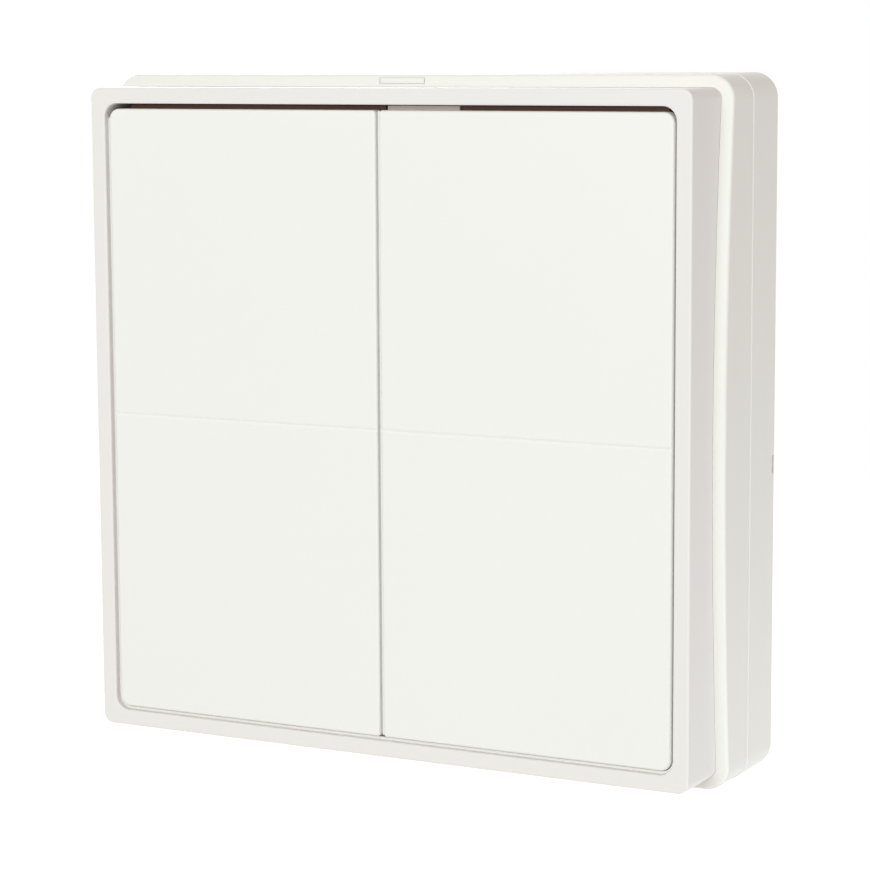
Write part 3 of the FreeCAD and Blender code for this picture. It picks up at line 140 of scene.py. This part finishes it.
# %% [markdown]
# ## Moulded plastics
#
# Every outer piece is injection moulded. The mould's walls are spark eroded, which leaves a fine even
# grain of about a tenth of a millimetre that scatters the highlight, and the plastic's own colour drifts a
# little where it flowed. One function makes such a finish. Noise in real millimetres gives the grain
# through a bump, a larger noise moves the roughness, and an even larger one shifts the tone by a hair. The
# real grain is too fine to show at this distance, so it is drawn about three times as coarse.

# %% Function for a moulded plastic
FLOW_SIZE = 0.03
PATCH_SIZE = 0.004
PATCH_ROUGHNESS = 0.03


def moulded(name, colour, drift, roughness, grain_mm, grain_depth_mm, ior=1.5):
    """A spark-eroded moulded plastic. drift is the colour that the tone wanders to."""
    material, tree, place = new_material(name)
    flow = add(tree, "ShaderNodeTexNoise", {"Scale": 1 / FLOW_SIZE, "Detail": 2.0}, {"Vector": place})
    tone = add(tree, "ShaderNodeMix", {"data_type": "RGBA", 6: linear(colour), 7: linear(drift)},
               {0: flow.outputs["Fac"]})
    grain = add(tree, "ShaderNodeTexNoise", {"Scale": 1000 / grain_mm, "Detail": 3.0, "Roughness": 0.6},
                {"Vector": place})
    patches = add(tree, "ShaderNodeTexNoise", {"Scale": 1 / PATCH_SIZE, "Detail": 2.0}, {"Vector": place})
    rough = add(tree, "ShaderNodeMapRange",
                {"To Min": roughness - PATCH_ROUGHNESS, "To Max": roughness + PATCH_ROUGHNESS},
                {"Value": patches.outputs["Fac"]})
    bump = add(tree, "ShaderNodeBump", {"Strength": 0.6, "Distance": grain_depth_mm / 1000},
               {"Height": grain.outputs["Fac"]})
    shader = add(tree, "ShaderNodeBsdfPrincipled", {"IOR": ior},
                 {"Base Color": tone.outputs[2], "Roughness": rough.outputs[0], "Normal": bump.outputs[0]})
    finish_material(tree, shader)
    print(name, "with a grain of", grain_mm, "mm")
    return material


# %% Moulded pieces
rocker_white = moulded("moulded_abs_rocker_white", "F1F1ED", "EFEFEA", 0.42, 0.3, 0.004)
frame_white = moulded("moulded_abs_frame_white", "ECE9E6", "EAE7E3", 0.42, 0.3, 0.004)
housing_white = moulded("moulded_abs_housing_white", "EEEDE8", "ECEBE5", 0.45, 0.3, 0.005)
# The carrier's dark brown is partly painted shade: it makes the deep gap above the rockers darker than the
# shadow there alone would.
carrier_painted_shade_brown = moulded("moulded_pp_carrier_brown", "764C3D", "6C4334", 0.55, 0.35, 0.006, 1.49)
switch_black = moulded("moulded_pa_switch_black", "17171A", "1D1D20", 0.5, 0.2, 0.003, 1.53)
holder_black = moulded("moulded_pbt_holder_black", "141415", "1B1B1D", 0.48, 0.3, 0.004, 1.55)
stem_grey = moulded("moulded_pom_stem_grey", "A5A8AB", "9DA0A4", 0.35, 0.25, 0.002, 1.48)
chip_black = moulded("moulded_epoxy_chip_black", "202123", "28292B", 0.6, 0.15, 0.004, 1.55)

# %% [markdown]
# ## Sheet metals and plated metals
#
# The switch covers, the shield can, the contacts and the coin cell are bright metals with different
# surfaces. Rolled sheet carries fine streaks along the rolling direction, and a pressed cell can is
# brushed by tumbling. Plated screws, solder and gold plating are a little grainy instead, in no direction.
# A noise that is stretched along one axis draws the streaks, and unstretched it draws the grain: it feeds
# the roughness and a very weak bump. Base colour and a metallic value of one do the rest.

# %% Function for a metal
STAIN_SIZE = 0.002
STAIN_SMOOTHER = 0.08
STAIN_ROUGHER = 0.1


def metal(name, colour, roughness, streak_mm, stretch, depth_mm):
    """A bare or plated metal with streaks streak_mm apart, drawn out along X by stretch."""
    material, tree, place = new_material(name)
    drawn = add(tree, "ShaderNodeMapping", {"Scale": (1 / stretch, 1.0, 1.0)}, {"Vector": place})
    streaks = add(tree, "ShaderNodeTexNoise", {"Scale": 1000 / streak_mm, "Detail": 3.0},
                  {"Vector": drawn.outputs[0]})
    stains = add(tree, "ShaderNodeTexNoise", {"Scale": 1 / STAIN_SIZE, "Detail": 2.0}, {"Vector": place})
    both = add(tree, "ShaderNodeMath", {"operation": "MULTIPLY"},
               {0: streaks.outputs["Fac"], 1: stains.outputs["Fac"]})
    rough = add(tree, "ShaderNodeMapRange",
                {"From Max": 0.5, "To Min": roughness - STAIN_SMOOTHER, "To Max": roughness + STAIN_ROUGHER},
                {"Value": both.outputs[0]})
    bump = add(tree, "ShaderNodeBump", {"Strength": 0.4, "Distance": depth_mm / 1000},
               {"Height": streaks.outputs["Fac"]})
    shader = add(tree, "ShaderNodeBsdfPrincipled", {"Base Color": linear(colour), "Metallic": 1.0},
                 {"Roughness": rough.outputs[0], "Normal": bump.outputs[0]})
    finish_material(tree, shader)
    print(name, "with streaks", streak_mm, "mm apart")
    return material


# %% Metal pieces
cover_steel = metal("rolled_tinned_steel", "D3D2CC", 0.32, 0.12, 12.0, 0.003)
contact_steel = metal("nickel_plated_spring_steel", "D6D0C2", 0.26, 0.15, 8.0, 0.002)
screw_steel = metal("zinc_plated_screw_steel", "BFC1C2", 0.36, 0.2, 1.0, 0.004)
cell_steel = metal("tumbled_stainless_steel", "D9D8D4", 0.28, 0.1, 3.0, 0.002)
solder_tin = metal("reflowed_solder_tin", "CFCFCC", 0.3, 0.25, 1.0, 0.004)
contact_gold = metal("immersion_gold_plating", "E6C27A", 0.3, 0.2, 1.0, 0.002)

# %% [markdown]
# ## Glass-epoxy circuit board
#
# A board is a glass-fibre laminate under a green solder mask. Copper tracks show through the mask as
# slightly raised, lighter green lines, and the cut edges show the bare yellowish laminate. The tracks are
# drawn from two sets of straight lines 1.2 mm apart, one along X and one along Z, and a coarse cell
# pattern says which patch gets which set, which reads as routing. The cut edges are found from the way
# that a surface faces, because the board's two wide faces look along Y.

# %% Circuit board material
ROUTING_CELL = 0.006
TRACK_PITCH = 0.0012
TRACK_SLOPE = 0.00006
TRACK_HEIGHT = 0.00003
BARE_SHARE = 0.35
WIDE_FACE = 0.7


def laminate(name, track_mm, seed):
    """Green solder mask over copper tracks. seed moves the pattern so that two boards differ."""
    material, tree, place = new_material(name)
    moved = add(tree, "ShaderNodeMapping", {"Location": (seed, 0.0, seed)}, {"Vector": place})
    axes = add(tree, "ShaderNodeSeparateXYZ", links={"Vector": moved.outputs[0]})
    cells = add(tree, "ShaderNodeTexVoronoi", {"Scale": 1 / ROUTING_CELL, "distance": "CHEBYCHEV"},
                {"Vector": moved.outputs[0]})
    choice = add(tree, "ShaderNodeSeparateColor", links={"Color": cells.outputs["Color"]})
    which = add(tree, "ShaderNodeMath", {"operation": "GREATER_THAN", 1: 0.5}, {0: choice.outputs[0]})
    along = add(tree, "ShaderNodeMix", {"data_type": "FLOAT"},
                {0: which.outputs[0], 2: axes.outputs["X"], 3: axes.outputs["Z"]})
    steps = add(tree, "ShaderNodeMath", {"operation": "PINGPONG", 1: TRACK_PITCH / 2},
                {0: along.outputs[0]})
    track = add(tree, "ShaderNodeMapRange",
                {"From Min": track_mm / 1000, "From Max": track_mm / 1000 - TRACK_SLOPE},
                {"Value": steps.outputs[0]})
    kept = add(tree, "ShaderNodeMath", {"operation": "GREATER_THAN", 1: BARE_SHARE}, {0: choice.outputs[1]})
    copper = add(tree, "ShaderNodeMath", {"operation": "MULTIPLY"},
                 {0: track.outputs[0], 1: kept.outputs[0]})
    mask = add(tree, "ShaderNodeMix", {"data_type": "RGBA", 6: linear("0C4A2C"), 7: linear("2A7A4A")},
               {0: copper.outputs[0]})
    normal = add(tree, "ShaderNodeNewGeometry").outputs["Normal"]
    facing = add(tree, "ShaderNodeSeparateXYZ", links={"Vector": normal})
    flat = add(tree, "ShaderNodeMath", {"operation": "ABSOLUTE"}, {0: facing.outputs["Y"]})
    is_face = add(tree, "ShaderNodeMath", {"operation": "GREATER_THAN", 1: WIDE_FACE}, {0: flat.outputs[0]})
    colour = add(tree, "ShaderNodeMix", {"data_type": "RGBA", 6: linear("B7A66A")},
                 {0: is_face.outputs[0], 7: mask.outputs[2]})
    bump = add(tree, "ShaderNodeBump", {"Strength": 0.7, "Distance": TRACK_HEIGHT},
               {"Height": copper.outputs[0]})
    shader = add(tree, "ShaderNodeBsdfPrincipled", {"Roughness": 0.32, "IOR": 1.53, "Coat Weight": 0.25},
                 {"Base Color": colour.outputs[2], "Normal": bump.outputs[0]})
    finish_material(tree, shader)
    print(name, "with tracks", 2 * track_mm, "mm wide")
    return material


board_green = laminate("solder_masked_glass_epoxy", 0.14, 0.0)
module_green = laminate("solder_masked_module_laminate", 0.09, 0.0137)

# %% [markdown]
# ## Chips with tinned ends
#
# A chip resistor or capacitor has a dark or buff ceramic body and a bright tinned cap on each end. Both
# columns of chips stand at the same distance from the centre line, so the distance of a point from its
# column's middle says whether it is body or cap. That is one subtraction in Object coordinates, with no
# need for separate meshes.

# %% Chip materials
GLAZE_SPECK = 0.0002
GLAZE_DEPTH = 0.000004


def ended_chip(name, body_colour, column_x, half_body):
    """Ceramic body between two tinned ends, for a column of chips at +column_x or -column_x."""
    material, tree, place = new_material(name)
    axes = add(tree, "ShaderNodeSeparateXYZ", links={"Vector": place})
    side = add(tree, "ShaderNodeMath", {"operation": "ABSOLUTE"}, {0: axes.outputs["X"]})
    offset = add(tree, "ShaderNodeMath", {"operation": "SUBTRACT", 1: column_x}, {0: side.outputs[0]})
    reach = add(tree, "ShaderNodeMath", {"operation": "ABSOLUTE"}, {0: offset.outputs[0]})
    is_end = add(tree, "ShaderNodeMath", {"operation": "GREATER_THAN", 1: half_body}, {0: reach.outputs[0]})
    speck = add(tree, "ShaderNodeTexNoise", {"Scale": 1 / GLAZE_SPECK, "Detail": 2.0}, {"Vector": place})
    bump = add(tree, "ShaderNodeBump", {"Strength": 0.5, "Distance": GLAZE_DEPTH},
               {"Height": speck.outputs["Fac"]})
    colour = add(tree, "ShaderNodeMix", {"data_type": "RGBA", 6: linear(body_colour), 7: linear("CFCFCC")},
                 {0: is_end.outputs[0]})
    shader = add(tree, "ShaderNodeBsdfPrincipled", {"Roughness": 0.38, "IOR": 1.7},
                 {"Base Color": colour.outputs[2], "Metallic": is_end.outputs[0],
                  "Normal": bump.outputs[0]})
    finish_material(tree, shader)
    print(name, "has caps beyond", 1000 * half_body, "mm from its middle")
    return material


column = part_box("chip_capacitors")
column_x = (column[0].x + column[1].x) / 2
resistor_ends = ended_chip("glazed_alumina_resistor", "1E1F22", column_x, 0.0005)
capacitor_ends = ended_chip("fired_ceramic_capacitor", "A78F6B", column_x, 0.00045)
aerial_ends = ended_chip("fired_ceramic_aerial", "DDD9CE", 0.0, 0.0029)

# %% [markdown]
# ## Frosted light guide and indicator
#
# The light guide is smoky polycarbonate with a frosted surface. In the gap above the rockers it reads as a
# pale patch on the carrier, whose dark brown is partly painted shade. So most of the light that enters it
# comes back as a warm grey and only a little passes through. A Principled shader with a warm base colour and
# a hair of transmission does this.
# The lamp is a white-filled package with a pale yellow lens, which is the phosphor that turns its blue
# light white.

# %% Guide and lamp materials
FROST_SIZE = 0.0003
FROST_DEPTH = 0.000006


def frosted_guide():
    """Frosted polycarbonate."""
    material, tree, place = new_material("frosted_polycarbonate_guide")
    frost = add(tree, "ShaderNodeTexNoise", {"Scale": 1 / FROST_SIZE, "Detail": 3.0}, {"Vector": place})
    bump = add(tree, "ShaderNodeBump", {"Strength": 0.5, "Distance": FROST_DEPTH},
               {"Height": frost.outputs["Fac"]})
    shader = add(tree, "ShaderNodeBsdfPrincipled",
                 {"Base Color": linear("FBEADF"), "Roughness": 0.35, "IOR": 1.585,
                  "Transmission Weight": 0.05},
                 {"Normal": bump.outputs[0]})
    finish_material(tree, shader)
    return material


guide_frosted = frosted_guide()
lamp_white = moulded("silicone_filled_lamp", "E8E2B0", "E3DBA0", 0.3, 0.2, 0.001, 1.41)
print("light guide and lamp")

# %% [markdown]
# ## Which piece gets which finish
#
# Each CAD piece has one material slot. Assigning to it changes the look and leaves the mesh as it is.
# Names that start alike share a finish, so the longest matching start wins, and every piece has to find
# one.

# %% Assign the materials
FINISHES = {
    "left_rocker": rocker_white,
    "right_rocker": rocker_white,
    "front_frame": frame_white,
    "surface_housing": housing_white,
    "wall_base": housing_white,
    "rocker_carrier": carrier_painted_shade_brown,
    "circuit_board": board_green,
    "radio_module_board": module_green,
    "switch_base": switch_black,
    "switch_stem": stem_grey,
    "switch_cover": cover_steel,
    "switch_dome": contact_steel,
    "negative_contact": contact_steel,
    "positive_clip": contact_steel,
    "carrier_screws": screw_steel,
    "board_screws": screw_steel,
    "coin_cell": cell_steel,
    "cell_holder": holder_black,
    "shield_can": cover_steel,
    "crystal": cover_steel,
    "radio_chip": chip_black,
    "chip_aerial": aerial_ends,
    "chip_resistors": resistor_ends,
    "chip_capacitors": capacitor_ends,
    "indicator_lamp": lamp_white,
    "light_guide": guide_frosted,
}
for name, piece in nodes.items():
    starts = [start for start in FINISHES if name.startswith(start)]
    finish = FINISHES[max(starts, key=len)]
    piece.data.materials.clear()
    piece.data.materials.append(finish)
print("finishes on", len(nodes), "pieces")

# %% [markdown]
# ## Dust lip inside the frame
#
# The gap round the rockers is deep, yet in the photograph it looks shallow and pale at the sides and at
# the bottom, because a thin moulded lip on the frame's inner wall closes most of it a little behind the
# rim. It is a flat ring, so it starts as one square face with its corners rounded. Insetting the face
# gives the ring, and an extrusion gives it thickness. Along the top the gap is open, so that part of the
# ring is cut away.

# %% Three helpers for new pieces
def verts_of(geometry):
    """The vertices in what an operator gave back."""
    return [part for part in geometry if isinstance(part, bmesh.types.BMVert)]


def raise_faces(mesh, height):
    """Extrudes all faces towards the wall by a height."""
    grown = bmesh.ops.extrude_face_region(mesh, geom=mesh.faces[:], use_keep_orig=True)["geom"]
    bmesh.ops.translate(mesh, vec=(0, height, 0), verts=verts_of(grown))


def add_piece(name, mesh, material, body):
    """Turns a bmesh into an object with one material that rides on a body."""
    bmesh.ops.recalc_face_normals(mesh, faces=mesh.faces)
    data = bpy.data.meshes.new(name)
    mesh.to_mesh(data)
    mesh.free()
    data.materials.append(material)
    piece = bpy.data.objects.new(name, data)
    scene.collection.objects.link(piece)
    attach(piece, body)
    print(name, "has", len(data.polygons), "faces and rides on", body)
    return piece


# %% Dust lip
RIM_WIDTH = 0.00195
OPENING_CORNER = 0.0017
LIP_WIDTH = 0.0003
LIP_BEHIND_RIM = 0.0009
LIP_THICKNESS = 0.0008
LIP_TOP = 0.0363
opening_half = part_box("front_frame")[1].x - RIM_WIDTH
upright = Matrix.Rotation(math.radians(90), 4, "X")
lip_place = Matrix.Translation((0, cad_low.y + LIP_BEHIND_RIM, 0)) @ upright
lip = bmesh.new()
bmesh.ops.create_grid(lip, x_segments=1, y_segments=1, size=opening_half, matrix=lip_place)
bmesh.ops.bevel(lip, geom=lip.verts[:], offset=OPENING_CORNER, offset_type="OFFSET", affect="VERTICES",
                segments=8, profile=0.5, material=-1)
opening = lip.faces[:]
bmesh.ops.inset_region(lip, faces=opening, thickness=LIP_WIDTH, use_even_offset=True, use_boundary=True)
bmesh.ops.delete(lip, geom=opening, context="FACES_ONLY")
raise_faces(lip, LIP_THICKNESS)
whole_lip = lip.verts[:] + lip.edges[:] + lip.faces[:]
bmesh.ops.bisect_plane(lip, geom=whole_lip, plane_co=(0, 0, LIP_TOP), plane_no=(0, 0, 1), clear_outer=True)
bmesh.ops.holes_fill(lip, edges=[e for e in lip.edges if e.is_boundary], sides=0)
print("closed:", all(e.is_manifold for e in lip.edges))
add_piece("frame_dust_lip", lip, frame_white, "housing")

# %% [markdown]
# ## Lap between the rockers
#
# The line between the rockers is pale in the photograph as well, so nothing dark shows through it. Rockers
# that stand side by side often lap: one of them has a narrow step along its inner edge, a little behind
# its face, that closes half of the slot and keeps dust out. It is a long bar with its free front edge
# rounded. It belongs to the left rocker, so it rides on that body and tilts with it.

# %% Rocker lap
LAP_BEHIND_FACE = 0.00075
LAP_WIDTH = 0.00024
LAP_THICKNESS = 0.0008
LAP_SHORT_OF_ENDS = 0.0001
LAP_ROUND = 0.00006
rocker_low, rocker_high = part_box("left_rocker")
lap_length = rocker_high.z - rocker_low.z - 2 * LAP_SHORT_OF_ENDS
lap_middle = Vector((rocker_high.x + LAP_WIDTH / 2,
                     rocker_low.y + LAP_BEHIND_FACE + LAP_THICKNESS / 2,
                     (rocker_low.z + rocker_high.z) / 2))
lap_place = Matrix.Translation(lap_middle) @ Matrix.Diagonal((LAP_WIDTH, LAP_THICKNESS, lap_length, 1))
lap = bmesh.new()
bmesh.ops.create_cube(lap, size=1, matrix=lap_place)
free_edge = [e for e in lap.edges if all(v.co.x > lap_middle.x and v.co.y < lap_middle.y for v in e.verts)]
bmesh.ops.bevel(lap, geom=free_edge, offset=LAP_ROUND, affect="EDGES", segments=3, profile=0.5, material=-1)
add_piece("left_rocker_lap", lap, rocker_white, "left_rocker")

# %% [markdown]
# ## Legs of the key switches
#
# A key switch stands on four tinned legs, two at each side. Each leg is a strip of sheet that comes out of
# the black base, steps down and lies flat on the board in a small heap of solder. Seen from the end it is
# one bent line, so the line is drawn with four points, swept along Z to the strip's width, rounded at its
# bends and given the sheet's thickness. One leg is made, and then it is copied to the sixteen places that
# the boxes of the switches give. The heap is a block with its front edges bevelled well back.

# %% Helpers for strips, solder and copies
HEAP_SLOPE = 0.8


def bent_strip(points, width, sheet, bend):
    """A bmesh with one strip of sheet whose end view runs through the points, each an X and a Y."""
    mesh = bmesh.new()
    line = [mesh.verts.new((x, y, -width / 2)) for x, y in points]
    edges = [mesh.edges.new(pair) for pair in zip(line, line[1:])]
    swept = bmesh.ops.extrude_edge_only(mesh, edges=edges)["geom"]
    bmesh.ops.translate(mesh, vec=(0, 0, width), verts=verts_of(swept))
    folds = [e for e in mesh.edges if len(e.link_faces) == 2]
    bmesh.ops.bevel(mesh, geom=folds, offset=bend, affect="EDGES", segments=3, profile=0.5, material=-1)
    bmesh.ops.solidify(mesh, geom=mesh.faces[:], thickness=sheet)
    return mesh


def solder_heap(x, y, size):
    """A bmesh with one heap of solder on the plane y. size is its X, Y and Z."""
    mesh = bmesh.new()
    height = size[1]
    place = Matrix.Translation((x, y - height / 2, 0)) @ Matrix.Diagonal((*size, 1))
    bmesh.ops.create_cube(mesh, size=1, matrix=place)
    front = [e for e in mesh.edges if all(v.co.y < y - height / 2 for v in e.verts)]
    bmesh.ops.bevel(mesh, geom=front, offset=HEAP_SLOPE * height, affect="EDGES", segments=3, profile=0.5,
                    material=-1)
    return mesh


def copy_to(mesh, places):
    """Copies what the mesh holds to each place, a matrix, and removes the first one."""
    first = mesh.verts[:] + mesh.edges[:] + mesh.faces[:]
    for place in places:
        copy = bmesh.ops.duplicate(mesh, geom=first)["geom"]
        bmesh.ops.transform(mesh, matrix=place, verts=verts_of(copy))
    bmesh.ops.delete(mesh, geom=verts_of(first), context="VERTS")
    print(len(places), "copies")
    return mesh


# %% Switch legs and their solder
SWITCH_PLACES = ("upper_left", "lower_left", "upper_right", "lower_right")
LEG_PITCH = 0.0045
LEG_WIDTH = 0.0007
LEG_SHEET = 0.0002
LEG_BEND = 0.00008
LEG_RISE = 0.0008
LEG_IN_BASE = 0.0002
LEG_KNEE = 0.0003
LEG_HEEL = 0.0004
LEG_TOE = 0.0011
HEAP_MIDDLE = 0.0008
HEAP_SIZE = (0.001, 0.00014, 0.0011)
HALF_TURN = Matrix.Rotation(math.pi, 4, "Y")
base_low, base_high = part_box("switch_base_upper_right")
board_front = base_high.y
half_base = (base_high.x - base_low.x) / 2
legs_at = []
for place in SWITCH_PLACES:
    low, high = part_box(f"switch_base_{place}")
    middle = Matrix.Translation(((low.x + high.x) / 2, 0, (low.z + high.z) / 2))
    for turn in (Matrix.Identity(4), HALF_TURN):
        for step in (-0.5, 0.5):
            legs_at.append(middle @ turn @ Matrix.Translation((0, 0, step * LEG_PITCH)))
leg_line = [(half_base - LEG_IN_BASE, board_front - LEG_RISE),
            (half_base + LEG_KNEE, board_front - LEG_RISE),
            (half_base + LEG_HEEL, board_front),
            (half_base + LEG_TOE, board_front)]
leg = bent_strip(leg_line, LEG_WIDTH, LEG_SHEET, LEG_BEND)
add_piece("switch_legs", copy_to(leg, legs_at), cover_steel, "housing")
heap = solder_heap(half_base + HEAP_MIDDLE, board_front, HEAP_SIZE)
add_piece("switch_solder", copy_to(heap, legs_at), solder_tin, "housing")

# %% [markdown]
# ## Contacts of the radio module
#
# The radio module is a small board that is soldered flat on the large one. Its contacts are gold-plated
# strips that wrap round its two long edges, with solder between them and the large board. The strip and
# solder helpers of the switch legs make them too, with other points and other places.

# %% Module contacts and their solder
CONTACTS_PER_SIDE = 9
CONTACT_PITCH = 0.0015
CONTACT_WIDTH = 0.0009
CONTACT_ON_FACE = 0.0005
PLATING = 0.00004
PLATING_BEND = 0.00002
JOINT_REACH = 0.0006
JOINT_HEIGHT = 0.0004
module_low, module_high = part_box("radio_module_board")
edge = module_high.x
contact_middle = Matrix.Translation((0, 0, (module_low.z + module_high.z) / 2))
contacts_at = []
for turn in (Matrix.Identity(4), HALF_TURN):
    for step in range(CONTACTS_PER_SIDE):
        along = (step - (CONTACTS_PER_SIDE - 1) / 2) * CONTACT_PITCH
        contacts_at.append(contact_middle @ turn @ Matrix.Translation((0, 0, along)))
contact_line = [(edge - CONTACT_ON_FACE, module_low.y), (edge, module_low.y), (edge, module_high.y)]
contact = bent_strip(contact_line, CONTACT_WIDTH, PLATING, PLATING_BEND)
add_piece("module_contacts", copy_to(contact, contacts_at), contact_gold, "housing")
heap = solder_heap(edge + JOINT_REACH / 2, module_high.y, (JOINT_REACH, JOINT_HEIGHT, CONTACT_WIDTH))
add_piece("module_solder", copy_to(heap, contacts_at), solder_tin, "housing")

# %% [markdown]
# ## Test pads and the sign on the cell
#
# On the back of the board a row of round gold pads lets the maker test it before the housing is closed. A
# pad is a filled circle that is extruded by the plating's thickness. The coin cell carries a pressed plus
# sign on its wide face. A grid of three by three squares without its four corners is such a sign, and an
# extrusion raises it.

# %% Test pads
PAD_COUNT = 6
PAD_PITCH = 0.0026
PAD_RADIUS = 0.0007
PAD_ROW = -0.0205
board_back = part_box("circuit_board")[1].y
facing_wall = Matrix.Rotation(math.radians(-90), 4, "X")
pad = bmesh.new()
bmesh.ops.create_circle(pad, cap_ends=True, segments=24, radius=PAD_RADIUS, matrix=facing_wall)
raise_faces(pad, PLATING)
pads_at = [Matrix.Translation(((step - (PAD_COUNT - 1) / 2) * PAD_PITCH, board_back, PAD_ROW))
           for step in range(PAD_COUNT)]
add_piece("test_pads", copy_to(pad, pads_at), contact_gold, "housing")

# %% Plus sign
SIGN_SQUARE = 0.001
SIGN_RISE = 0.00012
SIGN_Z = 0.0062
sign = bmesh.new()
sign_place = Matrix.Translation((0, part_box("coin_cell")[1].y, SIGN_Z)) @ facing_wall
bmesh.ops.create_grid(sign, x_segments=3, y_segments=3, size=1.5 * SIGN_SQUARE, matrix=sign_place)
corners = []
for square in sign.faces:
    middle = square.calc_center_median()
    if min(abs(middle.x), abs(middle.z - SIGN_Z)) > SIGN_SQUARE / 2:
        corners.append(square)
bmesh.ops.delete(sign, geom=corners, context="FACES")
raise_faces(sign, SIGN_RISE)
add_piece("cell_plus_sign", sign, cell_steel, "housing")

# %% [markdown]
# ## Floor and light
#
# The remote hangs on a wall, so it floats well above a pale floor, and only a faint soft shadow would lie
# far below it. The light is that of a white tent: the world lights the remote evenly from all sides, and a
# square key lamp in front of it, a little to the right and above, lifts the front just enough to set it
# off from the side. A small lamp low on the right brightens the lower half of that side, as a white table
# would, and a third one behind keeps the back from going grey. Seen by the camera, by reflections and
# through clear pieces, the world is plain white, and so is the floor.

# %% World
AMBIENT = 0.59
AMBIENT_TINT = "FFF2EE"


def seen(tree):
    """One for what the camera, a reflection or a clear piece sees, nought for light on other surfaces."""
    rays = add(tree, "ShaderNodeLightPath").outputs
    camera_or_gloss = add(tree, "ShaderNodeMath", {"operation": "MAXIMUM"},
                          {0: rays["Is Camera Ray"], 1: rays["Is Glossy Ray"]})
    any_of_them = add(tree, "ShaderNodeMath", {"operation": "MAXIMUM"},
                      {0: camera_or_gloss.outputs[0], 1: rays["Is Transmission Ray"]})
    return any_of_them.outputs[0]


world = bpy.data.worlds.new("studio")
scene.world = world
world.use_nodes = True
tree = world.node_tree
tree.nodes.clear()
ambient = add(tree, "ShaderNodeBackground", {"Color": linear(AMBIENT_TINT), "Strength": AMBIENT})
white = add(tree, "ShaderNodeBackground", {"Color": linear("FFFFFF"), "Strength": 1.0})
sky = add(tree, "ShaderNodeMixShader", links={0: seen(tree), 1: ambient.outputs[0], 2: white.outputs[0]})
add(tree, "ShaderNodeOutputWorld", links={"Surface": sky.outputs[0]})
print("ambient light", AMBIENT)

# %% Lamps
LAMPS = (
    # name, place, side in metres, watts, tint
    ("key_lamp", (0.13, -1.08, 0.26), 0.5, 6.5, "EDFAFB"),
    ("low_fill_lamp", (0.17, 0.0, -0.12), 0.06, 0.09, "E7FAFF"),
    ("back_fill_lamp", (-0.5, 0.6, 0.3), 0.4, 4.8, "E6F2FF"),
)
for name, place, side, watts, tint in LAMPS:
    lamp_data = bpy.data.lights.new(name, "AREA")
    lamp_data.shape = "SQUARE"
    lamp_data.size = side
    lamp_data.energy = watts
    lamp_data.color = linear(tint)[:3]
    lamp = bpy.data.objects.new(name, lamp_data)
    lamp.location = place
    lamp.rotation_euler = (-Vector(place)).to_track_quat("-Z", "Y").to_euler()
    scene.collection.objects.link(lamp)
    print(name, watts, "W")

# %% Floor
FLOOR_DROP = 0.45
FLOOR_SIDE = 6.0
FLOOR_GLOW = 0.75
floor_mesh = bmesh.new()
bmesh.ops.create_grid(floor_mesh, x_segments=1, y_segments=1, size=FLOOR_SIDE / 2,
                      matrix=Matrix.Translation((0, 0, cad_low.z - FLOOR_DROP)))
floor_data = bpy.data.meshes.new("floor")
floor_mesh.to_mesh(floor_data)
floor_mesh.free()
floor = bpy.data.objects.new("floor", floor_data)
scene.collection.objects.link(floor)
floor_material, tree = new_material("matt_white_floor")[:2]
matt = add(tree, "ShaderNodeBsdfDiffuse", {"Color": linear("DADAD8")})
glow = add(tree, "ShaderNodeEmission", {"Color": linear("FFFFFF"), "Strength": FLOOR_GLOW})
lit = add(tree, "ShaderNodeAddShader", links={0: matt.outputs[0], 1: glow.outputs[0]})
both = add(tree, "ShaderNodeMixShader", links={0: seen(tree), 1: matt.outputs[0], 2: lit.outputs[0]})
finish_material(tree, both)
floor_data.materials.append(floor_material)
floor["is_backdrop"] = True
print("floor", 1000 * FLOOR_DROP, "mm below the remote")

# %% [markdown]
# ## Colour management and closing
#
# The Standard view shows colours as they are written. The last lines measure the dressed model's box and
# print its size.

# %% Close
scene.view_settings.view_transform = "Standard"
low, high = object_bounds()
print("dressed model", [round(1000 * side, 1) for side in high - low], "mm")
